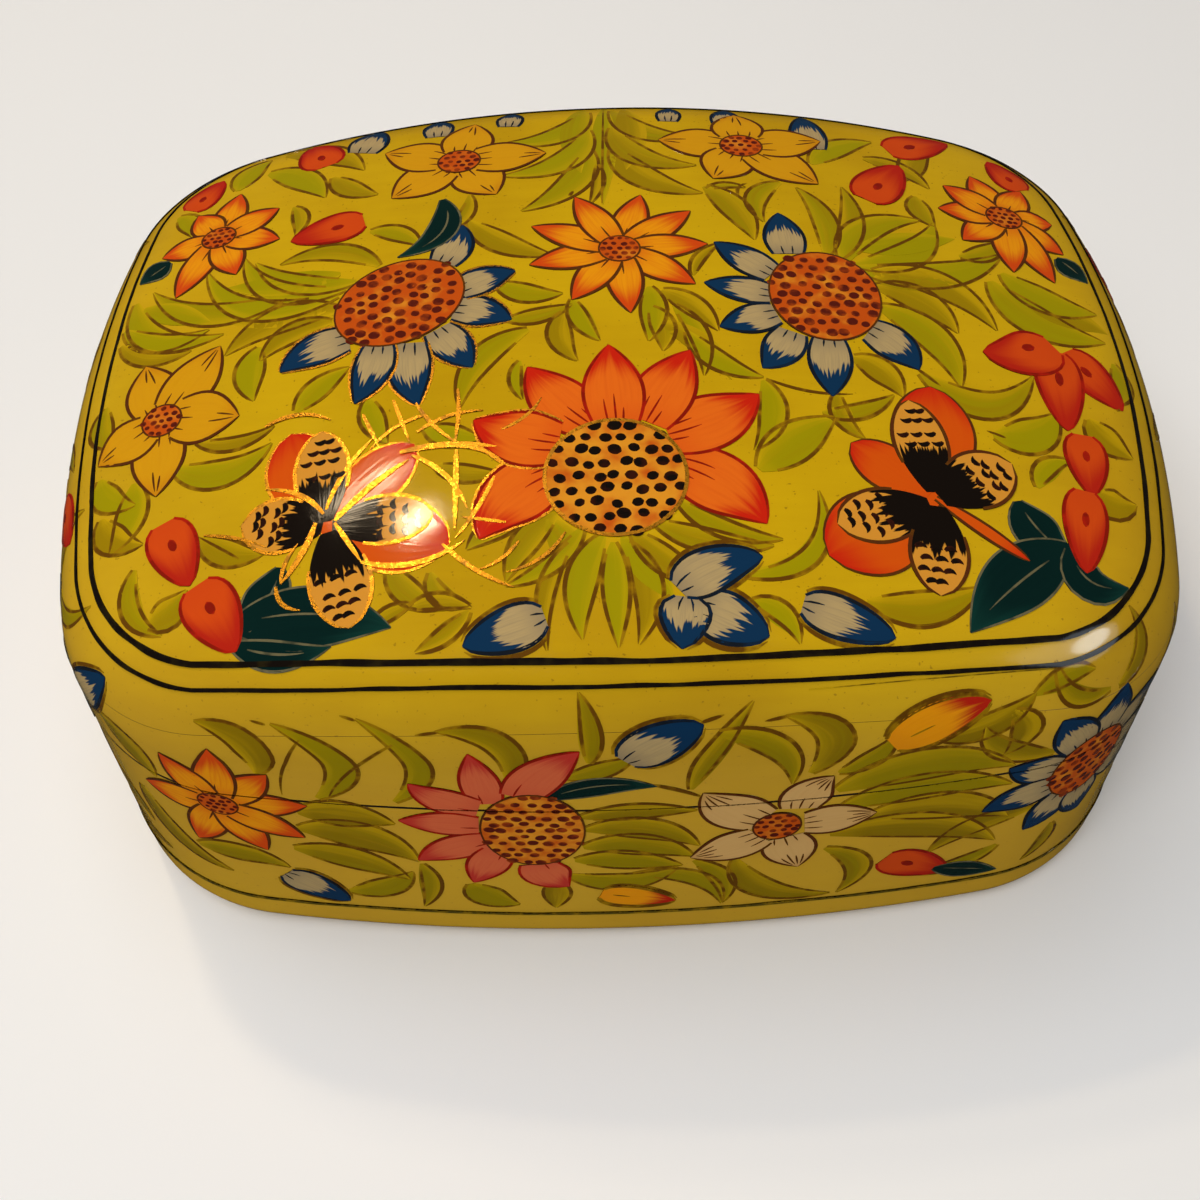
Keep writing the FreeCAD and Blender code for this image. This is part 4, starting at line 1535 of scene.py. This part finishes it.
# Corners and ends, which the photograph hardly shows: places are from the corner's or the end's middle
CORNER_LEAVES = [
    (-4.5, 18, -13.4, 12.6, 1.5, -0.14), (-4.6, 27.6, -12, 33.6, 1.4, 0.14),
    (5, 18.6, 14.2, 13.6, 1.6, 0.14), (4.6, 28, 11.6, 34.4, 1.4, -0.16),
    (-6.8, 12, -14.6, 8.6, 1.1, 0.12), (6.4, 11.6, 15, 8.4, 1.2, -0.12),
    (8, 22.6, 15.8, 24.8, 1.4, -0.1), (0.4, 33.8, 4.8, 39.2, 1, -0.2),
    (-1.4, 13, -3.4, 7.2, 0.9, 0.12), (-0.6, 34, -6.8, 38.6, 0.9, 0.2),
]
END_LEAVES = [
    (-5, 18.4, -15.6, 15.2, 1.6, -0.14), (-5.2, 26, -15, 30.6, 1.5, 0.14),
    (5, 18.4, 15.6, 15.2, 1.6, 0.14), (5.2, 26, 15, 30.6, 1.5, -0.14),
    (-4, 14.8, -11.8, 8.6, 1.2, 0.14), (4, 14.8, 11.8, 8.6, 1.2, -0.14),
    (-4, 30, -8.8, 36.8, 1.1, -0.18), (4, 30, 8.8, 36.8, 1.1, 0.18),
    (-8, 22.4, -17.2, 22.8, 1.4, 0.1), (8, 22.4, 17.2, 22.8, 1.4, -0.1),
    (0, 13.6, 0.4, 7.2, 0.9, 0.05),
]


def paint_front_set(brush, large, small):
    """The front's garden. large and small are the kinds of its two many-petalled flowers."""
    for row in BAND_LEAVES:
        leaf(brush, *row, wash="side_leaf_wash")
    for row in BAND_TWIGS:
        twig(brush, *row)
    petal(brush, "dark", -7.0, 27.4, 2.3, 29.2, 1.4, 0.12, LEAF_BELLY)
    petal(brush, "dark", 28.6, 9.2, 35.2, 6.7, 1.4, belly=LEAF_BELLY)
    star(brush, "star", -35.6, 23.5, 1.8, ORANGE_TIPS, 1.85)
    for row in PINK_FLOWER:
        petal(brush, large, *row)
    heart(brush, -8.3, 22.0, 4.5, 6.2, pitch=1.3, red=0.2)
    for row in CREAM_FLOWER:
        petal(brush, small, *row)
    heart(brush, 12.9, 21.1, 2.1, 2.3, pitch=0.95)
    for row in BAND_BUDS:
        bud(brush, *row)


def paint_corner_set(brush, turn):
    """Blue flower that wraps a corner, with its leaves."""
    for row in CORNER_LEAVES:
        leaf(brush, *row, wash="side_leaf_wash")
    daisy(brush, "blue", 0.0, 23.0, 3.9, 4.9, 6.0, 9, 2.1, 0.41 + turn)


def paint_end_set(brush, kind):
    """Flower in the middle of an end, with leaves and two buds."""
    for row in END_LEAVES:
        leaf(brush, *row, wash="side_leaf_wash")
    daisy(brush, kind, 0.0, 22.0, 3.6, 4.4, 6.0, 8, 2.0, 0.2)
    bud(brush, "gold bud", -11.0, 11.4, -16.8, 8.4, 1.8)
    bud(brush, "bud", 11.0, 34.6, 17.0, 36.8, 1.9)


# Middles of the corners' flowers: ways of the two in front, and distance of the two behind from the
# middle of the back
FRONT_CORNERS = (41.0, -59.0)
BACK_CORNER = 51.0


def paint_band(brush, quarter):
    """All of the painted side, round the box. quarter is a quarter of the way round."""
    for middle, large, small in ((0.0, "pink", "cream"), (2 * quarter, "blue", "yellow")):
        brush.move = (middle, 1.0)
        paint_front_set(brush, large, small)
    right, left = FRONT_CORNERS
    behind = 2 * quarter - BACK_CORNER
    for middle, turn in ((right, 1.0), (left, -1.0), (behind, 1.0), (-behind, -1.0)):
        brush.move = (middle, turn)
        paint_corner_set(brush, turn)
    for middle, kind in ((quarter, "pink"), (-quarter, "star")):
        brush.move = (middle, 1.0)
        paint_end_set(brush, kind)
    brush.move = (0.0, 1.0)


class BandSurface:
    """The painted side of the box, from the foot up and round the shoulder."""

    def __init__(self, form):
        self.form = form

    def __call__(self, places):
        """Points and outward directions at places (way, rise)."""
        return self.form.band(places)

    def sheet(self, corners):
        """Where marks lie on the paint's texture sheet: a strip for each side of the box."""
        quarter = self.form.quarter
        side = np.round(corners[..., :1].mean(1, keepdims=True) / quarter)
        along = (corners[..., 0] - side[..., 0] * quarter) / SHEET_LENGTH + 0.5
        strip = (side[..., 0] % 4) * STRIP_SHARE
        return np.stack([along, strip + corners[..., 1] / STRIP_HEIGHT * STRIP_SHARE * STRIP_FILL], -1)


def cut_at(piece, height, above):
    """Keeps what lies above or below a height, and closes the cut."""
    mesh = piece.data
    cut = bmesh.new()
    cut.from_mesh(mesh)
    sliced = bmesh.ops.bisect_plane(
        cut, geom=cut.verts[:] + cut.edges[:] + cut.faces[:], plane_co=(0, 0, height),
        plane_no=(0, 0, 1), clear_inner=above, clear_outer=not above,
    )
    edges = [part for part in sliced["geom_cut"] if isinstance(part, bmesh.types.BMEdge)]
    bmesh.ops.holes_fill(cut, edges=edges, sides=0)
    cut.to_mesh(mesh)
    cut.free()
    mesh.polygons.foreach_set("use_smooth", [True] * len(mesh.polygons))
    facing = np.empty(len(mesh.vertices) * 3, np.float32)
    mesh.attributes["facing"].data.foreach_get("vector", facing)
    facing = facing.reshape(-1, 3)
    facing /= np.maximum(np.linalg.norm(facing, axis=1, keepdims=True), NOTHING)
    mesh.normals_split_custom_set_from_vertices(facing.tolist())


def belongs(piece, body, slot, *nodes):
    """Attaches a piece to the body that it rides on, and hides the nodes that it stands for. slot, its
    finish, is not used.
    """
    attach(piece, body)
    if nodes:
        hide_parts(*nodes)


def paint_on(context, brush, prefix, body):
    """Makes the brush's pieces, which ride on the body that they are painted on."""
    for piece in brush.build(context, prefix):
        belongs(piece, body, "painted_shell")


# Lines round the box: points, waves of the hand, and how far these move the line, in millimetres,
# and swell it
LINE_POINTS = 629
LINE_WAVES = (5, 9, 17, 31, 46, 61)
LINE_DRIFT = 0.45
LINE_SWELLING = 0.045
# Behind the box they are finer: where that starts, the stretch over which it comes, both as shares
# of the way round to the back's middle, and by how much
FINER_FROM = 0.30
FINER_OVER = 0.25
FINER_BY = 0.5


def painted_line(brush, paint, rises, half_width, seed):
    """Line round the box, with the small unevenness of a long brush stroke."""
    ways = np.linspace(-1, 1, LINE_POINTS)
    draws = np.random.RandomState(seed).uniform(0, 2 * np.pi, len(LINE_WAVES))
    waves = list(zip(LINE_WAVES, draws))
    drift = sum(np.sin(np.pi * ways * turn + phase) / turn for turn, phase in waves)
    swelling = sum(np.sin(np.pi * ways * (turn + 3) + phase) for turn, phase in waves)
    form = brush.surface.form
    line = np.stack([ways * 2 * form.quarter / MM, rises(ways) + drift * LINE_DRIFT], 1)
    behind = np.clip((np.abs(ways) - FINER_FROM) / FINER_OVER, 0, 1)
    widths = half_width * (1 + swelling * LINE_SWELLING) * (1 - FINER_BY * behind)
    brush.mark(paint, "line", line, widths, 3, along=np.full(LINE_POINTS, 0.5))


# Border lines on the shoulder: angle up from the wall in degrees, and half width in millimetres
BORDER_LINES = ((58.9, 0.27), (46.1, 0.18))
# Line above the foot: height, half width and seed of its unevenness
FOOT_LINE = (5.7, 0.19, 7)
# Fine crack in the front's lacquer: its two ends, bend and half width
CRACK = ((14.0, 39.7), (36.0, 37.6), 0.02)
CRACK_WIDTH = 0.05


class PaintedBoxStep:
    """What all steps of the build share."""

    bl_options = {"REGISTER", "UNDO"}

    def form(self, context):
        """The box's shape from the sizes in the panel."""
        return BoxForm(context.scene.box_shape)


class PAINTEDBOX_OT_lid(PaintedBoxStep, bpy.types.Operator):
    """Build the lid's domed top and its side ring"""

    bl_idname = "painted_box.lid"
    bl_label = "Lid"

    def execute(self, context):
        crown, band = build_lid_skins(self.form(context), *shell_finishes(context))
        belongs(crown, "lid", "painted_shell", "lid_crown")
        belongs(band, "lid", "painted_shell", "lid_band")
        return {"FINISHED"}


class PAINTEDBOX_OT_base(PaintedBoxStep, bpy.types.Operator):
    """Build the base's side ring and finish its floor"""

    bl_idname = "painted_box.base"
    bl_label = "Base"

    def execute(self, context):
        band = build_base_skin(self.form(context), *shell_finishes(context))
        belongs(band, "base", "painted_shell", "base_band")
        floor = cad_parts["base_floor"]
        floor.data.materials.clear()
        floor.data.materials.append(finish_of(context, "underside_lacquer"))
        return {"FINISHED"}


class PAINTEDBOX_OT_collar(PaintedBoxStep, bpy.types.Operator):
    """Build the card collar that guides the lid"""

    bl_idname = "painted_box.collar"
    bl_label = "Collar"

    def execute(self, context):
        collar = build_collar_skin(self.form(context), finish_of(context, "inside_lacquer"))
        belongs(collar, "base", "inner_collar", "collar")
        return {"FINISHED"}


class PAINTEDBOX_OT_lines(PaintedBoxStep, bpy.types.Operator):
    """Paint the border lines round the shoulder and the line above the foot"""

    bl_idname = "painted_box.lines"
    bl_label = "Painted Lines"

    def execute(self, context):
        form = self.form(context)
        radius = form.shape.shoulder_radius / MM
        shoulder, foot = Brush(BandSurface(form)), Brush(BandSurface(form))
        for seed, (angle, half_width) in enumerate(BORDER_LINES):
            up = radius * math.radians(angle)
            painted_line(
                shoulder, "border_black",
                lambda ways: form.wall_top(ways * 2 * form.quarter) / MM + up, half_width, seed,
            )
        crack = middle_line(*CRACK)
        shoulder.mark("crack_pen", "leaf", crack, np.full(len(crack), CRACK_WIDTH), 2)
        paint_on(context, shoulder, "shoulder", "lid")
        height, half_width, seed = FOOT_LINE
        painted_line(foot, "foot_pen", lambda ways: np.full(len(ways), height), half_width, seed)
        paint_on(context, foot, "foot", "base")
        return {"FINISHED"}


class PAINTEDBOX_OT_crown(PaintedBoxStep, bpy.types.Operator):
    """Paint the flowers, leaves and butterflies on the domed top"""

    bl_idname = "painted_box.crown"
    bl_label = "Crown Painting"

    def execute(self, context):
        brush = Brush(CrownSurface())
        paint_crown(brush)
        paint_on(context, brush, "crown", "lid")
        return {"FINISHED"}


class PAINTEDBOX_OT_band(PaintedBoxStep, bpy.types.Operator):
    """Paint the sides, and cut the paint where the lid parts from the base"""

    bl_idname = "painted_box.band"
    bl_label = "Side Painting"

    def execute(self, context):
        form = self.form(context)
        brush = Brush(BandSurface(form))
        paint_band(brush, form.quarter / MM)
        gap = form.shape.hairline / 2
        for prefix, body, above in (("lid_side", "lid", True), ("base_side", "base", False)):
            for piece in brush.build(context, prefix):
                cut_at(piece, form.shape.parting_height + (gap if above else -gap), above)
                if len(piece.data.polygons):
                    belongs(piece, body, "painted_shell")
                else:
                    bpy.data.objects.remove(piece)
        return {"FINISHED"}


class StudioSettings(bpy.types.PropertyGroup):
    """Camera and lights of the photograph"""

    pitch: view_angle("Pitch", "How far the view looks down", 53.585)
    yaw: view_angle("Yaw", "How far round the camera stands", -0.711)
    roll: view_angle("Roll", "How far the camera is tipped", -1.115)
    distance: length("Distance", "From the camera to what it looks at", 0.15247)
    lens: FloatProperty(
        name="Lens", description="Focal length for a 36 mm wide picture", default=48.34, min=1.0,
        subtype="DISTANCE_CAMERA",
    )
    target: FloatVectorProperty(
        name="Target", description="What the camera looks at",
        default=(-0.00181, -0.01482, 0.02275), subtype="TRANSLATION",
    )
    room_light: FloatProperty(
        name="Room light", description="Strength of the room's even light", default=0.06, min=0.0
    )
    lamp_colour: paint_colour("Lamp colour", "Warm room lamp", (1.0, 0.78, 0.50))
    window_colour: paint_colour("Window colour", "Daylight from the windows", (0.80, 0.91, 1.0))
    soft_colour: paint_colour("Soft light colour", "Large soft light overhead", (1.0, 0.975, 0.94))
    room_colour: paint_colour("Room colour", "Even light of the room", (1.0, 0.98, 0.95))
    card_colour: paint_colour("Card colour", "Dark card that the lacquer mirrors", (0.10, 0.085, 0.06))
    floor_colour: paint_colour("Floor colour", "Pale floor", (0.88, 0.90, 0.93))


def camera_place(studio):
    """Where the camera stands, and its right, up and backward directions."""
    away = Vector((
        math.sin(studio.yaw) * math.cos(studio.pitch),
        -math.cos(studio.yaw) * math.cos(studio.pitch),
        math.sin(studio.pitch),
    ))
    right = Vector((math.cos(studio.yaw), math.sin(studio.yaw), 0))
    up = away.cross(right)
    turned_right = right * math.cos(studio.roll) + up * math.sin(studio.roll)
    turned_up = up * math.cos(studio.roll) - right * math.sin(studio.roll)
    return Vector(studio.target) + away * studio.distance, turned_right, turned_up, away


# Lights that show as a gleam: name, surface and place of the gleam in millimetres, distance,
# width and height in metres, power in watts, colour and shape
GLEAMS = (
    ("lamp", "crown", (-16.6, -21.4), 0.60, 0.034, 0.026, 0.42, "lamp_colour", "RECTANGLE"),
    ("lamp_shade", "crown", (-21.4, -18.0), 0.60, 0.060, 0.022, 0.22, "lamp_colour", "RECTANGLE"),
    ("lamp_rim", "crown", (-19.0, -16.0), 0.60, 0.030, 0.010, 0.08, "lamp_colour", "RECTANGLE"),
    ("back_window", "crown", (17.0, 35.0), 2.0, 2.2, 0.20, 22.0, "window_colour", "RECTANGLE"),
    ("left_window", "crown", (-49.0, 0.0), 1.2, 1.3, 0.30, 1.4, "lamp_colour", "RECTANGLE"),
    ("right_window", "crown", (49.4, -6.0), 1.2, 1.1, 0.20, 0.5, "window_colour", "RECTANGLE"),
    ("small_window", "band", (38.6, 38.9), 1.0, 0.34, 0.24, 4.4, "window_colour", "ELLIPSE"),
    ("small_window_haze", "band", (37.6, 38.7), 1.0, 0.62, 0.50, 3.6, "window_colour", "ELLIPSE"),
)
# Gleams that are too broad to light the box as well
MIRRORED_ONLY = ("small_window", "small_window_haze")
# Soft lights that no surface mirrors: name, place, width and height in metres, power in watts
SOFT_LIGHTS = (
    ("overhead", (-0.25, -0.10, 1.5), 1.6, 1.4, 12.6),
    ("near_front", (-0.10, -0.26, 0.46), 0.30, 0.20, 0.98),
    ("left_fill", (-1.2, 0.6, 1.1), 1.2, 0.8, 3.0),
)


def area_light(name, place, towards, width, height, power, colour, shape="RECTANGLE", shows=True):
    """Area light that faces a point."""
    data = bpy.data.lights.new(name, "AREA")
    data.shape = shape
    data.size = width
    data.size_y = height
    data.energy = power
    data.color = colour
    light = bpy.data.objects.new(name, data)
    light.location = place
    light.visible_glossy = shows
    light.visible_diffuse = name not in MIRRORED_ONLY
    light.rotation_euler = (place - towards).to_track_quat("Z", "Y").to_euler()
    bpy.context.scene.collection.objects.link(light)


# In metres: half width of the floor, height of the dark card under it, middle of the box, and nearest
# and farthest thing that the camera sees
FLOOR_REACH = 2.5
CARD_HEIGHT = -0.0005
BOX_MIDDLE = (0, 0, 0.02)
VIEW_DEPTHS = (0.005, 20)


def stage_plane(name, height, finish):
    """Level square that is part of the stage."""
    sides = ((-1, -1), (1, -1), (1, 1), (-1, 1))
    corners = [(x * FLOOR_REACH, y * FLOOR_REACH, height) for x, y in sides]
    mesh = bpy.data.meshes.new(name)
    mesh.from_pydata(corners, [], [(0, 1, 2, 3)])
    mesh.materials.append(finish.material)
    plane = bpy.data.objects.new(name, mesh)
    bpy.context.scene.collection.objects.link(plane)
    return plane


def card_finish(name, colour):
    """Matt card with faint cloudiness."""
    finish = Finish(name, 0.65)
    cloud = finish.noise(3.0, 3.0)
    pale = tuple(colour)
    dim = tuple(amount * 0.97 for amount in pale)
    finish.give("Base Color", finish.blend(finish.step(cloud, 0.3, 0.7), pale, dim))
    finish.give("Roughness", finish.step(cloud, 0.3, 0.7, 0.6, 0.72))
    return finish


class PAINTEDBOX_OT_studio(PaintedBoxStep, bpy.types.Operator):
    """Set up the floor, the lights and the camera"""

    bl_idname = "painted_box.studio"
    bl_label = "Studio"

    def execute(self, context):
        scene, studio = context.scene, context.scene.box_studio
        place, right, up, away = camera_place(studio)
        data = bpy.data.cameras.new("photo_camera")
        data.lens = studio.lens
        data.clip_start, data.clip_end = VIEW_DEPTHS
        camera = bpy.data.objects.new("photo_camera", data)
        turn = Matrix((right, up, away)).transposed().to_4x4()
        camera.matrix_world = Matrix.Translation(place) @ turn
        scene.collection.objects.link(camera)
        scene.camera = camera

        surfaces = {"crown": CrownSurface(), "band": BandSurface(self.form(context))}
        for name, surface, spot, distance, width, height, power, colour, shape in GLEAMS:
            points, facings = surfaces[surface](np.array([spot]) * MM)
            point, facing = Vector(points[0]), Vector(facings[0])
            sight = (point - place).normalized()
            mirrored = sight - 2 * sight.dot(facing) * facing
            area_light(
                name, point + mirrored * distance, point, width, height, power,
                getattr(studio, colour), shape,
            )
        for name, spot, width, height, power in SOFT_LIGHTS:
            area_light(
                name, Vector(spot), Vector(BOX_MIDDLE), width, height, power, studio.soft_colour,
                shows=False,
            )

        world = bpy.data.worlds.new("room")
        world.use_nodes = True
        sky = world.node_tree.nodes["Background"]
        sky.inputs["Color"].default_value = (*studio.room_colour, 1)
        sky.inputs["Strength"].default_value = studio.room_light
        scene.world = world
        scene.view_settings.view_transform = "Standard"

        floor = stage_plane("floor", 0.0, card_finish("floor_paint", studio.floor_colour))
        floor.visible_glossy = False
        # The lacquer mirrors this dark card in place of the pale floor
        dark = card_finish("dark_card_paint", studio.card_colour)
        card = stage_plane("dark_card", CARD_HEIGHT, dark)
        card.visible_camera = False
        card.visible_diffuse = False
        card.visible_shadow = False
        return {"FINISHED"}


STEPS = (
    PAINTEDBOX_OT_lid, PAINTEDBOX_OT_base, PAINTEDBOX_OT_collar, PAINTEDBOX_OT_lines,
    PAINTEDBOX_OT_crown, PAINTEDBOX_OT_band, PAINTEDBOX_OT_studio,
)


class PAINTEDBOX_PT_panel(bpy.types.Panel):
    """Steps and sizes of the painted box"""

    bl_idname = "PAINTEDBOX_PT_panel"
    bl_label = "Painted Box"
    bl_space_type = "VIEW_3D"
    bl_region_type = "UI"
    bl_category = "Painted Box"

    def draw(self, context):
        for step in STEPS:
            self.layout.operator(step.bl_idname)
        for group in (context.scene.box_shape, context.scene.box_paint, context.scene.box_studio):
            box = self.layout.box()
            for name in group.bl_rna.properties.keys():
                if name not in ("rna_type", "name"):
                    box.prop(group, name)


CLASSES = (BoxShape, BoxPaint, StudioSettings, *STEPS, PAINTEDBOX_PT_panel)


def register():
    """Registers the classes and their settings."""
    for cls in CLASSES:
        bpy.utils.register_class(cls)
    bpy.types.Scene.box_shape = PointerProperty(type=BoxShape)
    bpy.types.Scene.box_paint = PointerProperty(type=BoxPaint)
    bpy.types.Scene.box_studio = PointerProperty(type=StudioSettings)


def unregister():
    """Takes the classes and their settings away."""
    del bpy.types.Scene.box_studio
    del bpy.types.Scene.box_paint
    del bpy.types.Scene.box_shape
    for cls in reversed(CLASSES):
        bpy.utils.unregister_class(cls)


def main():
    """Builds the box and its studio."""
    register()
    bpy.ops.painted_box.lid()
    bpy.ops.painted_box.base()
    bpy.ops.painted_box.collar()
    bpy.ops.painted_box.lines()
    bpy.ops.painted_box.crown()
    bpy.ops.painted_box.band()
    bpy.ops.painted_box.studio()


if __name__ == "__main__":
    main()
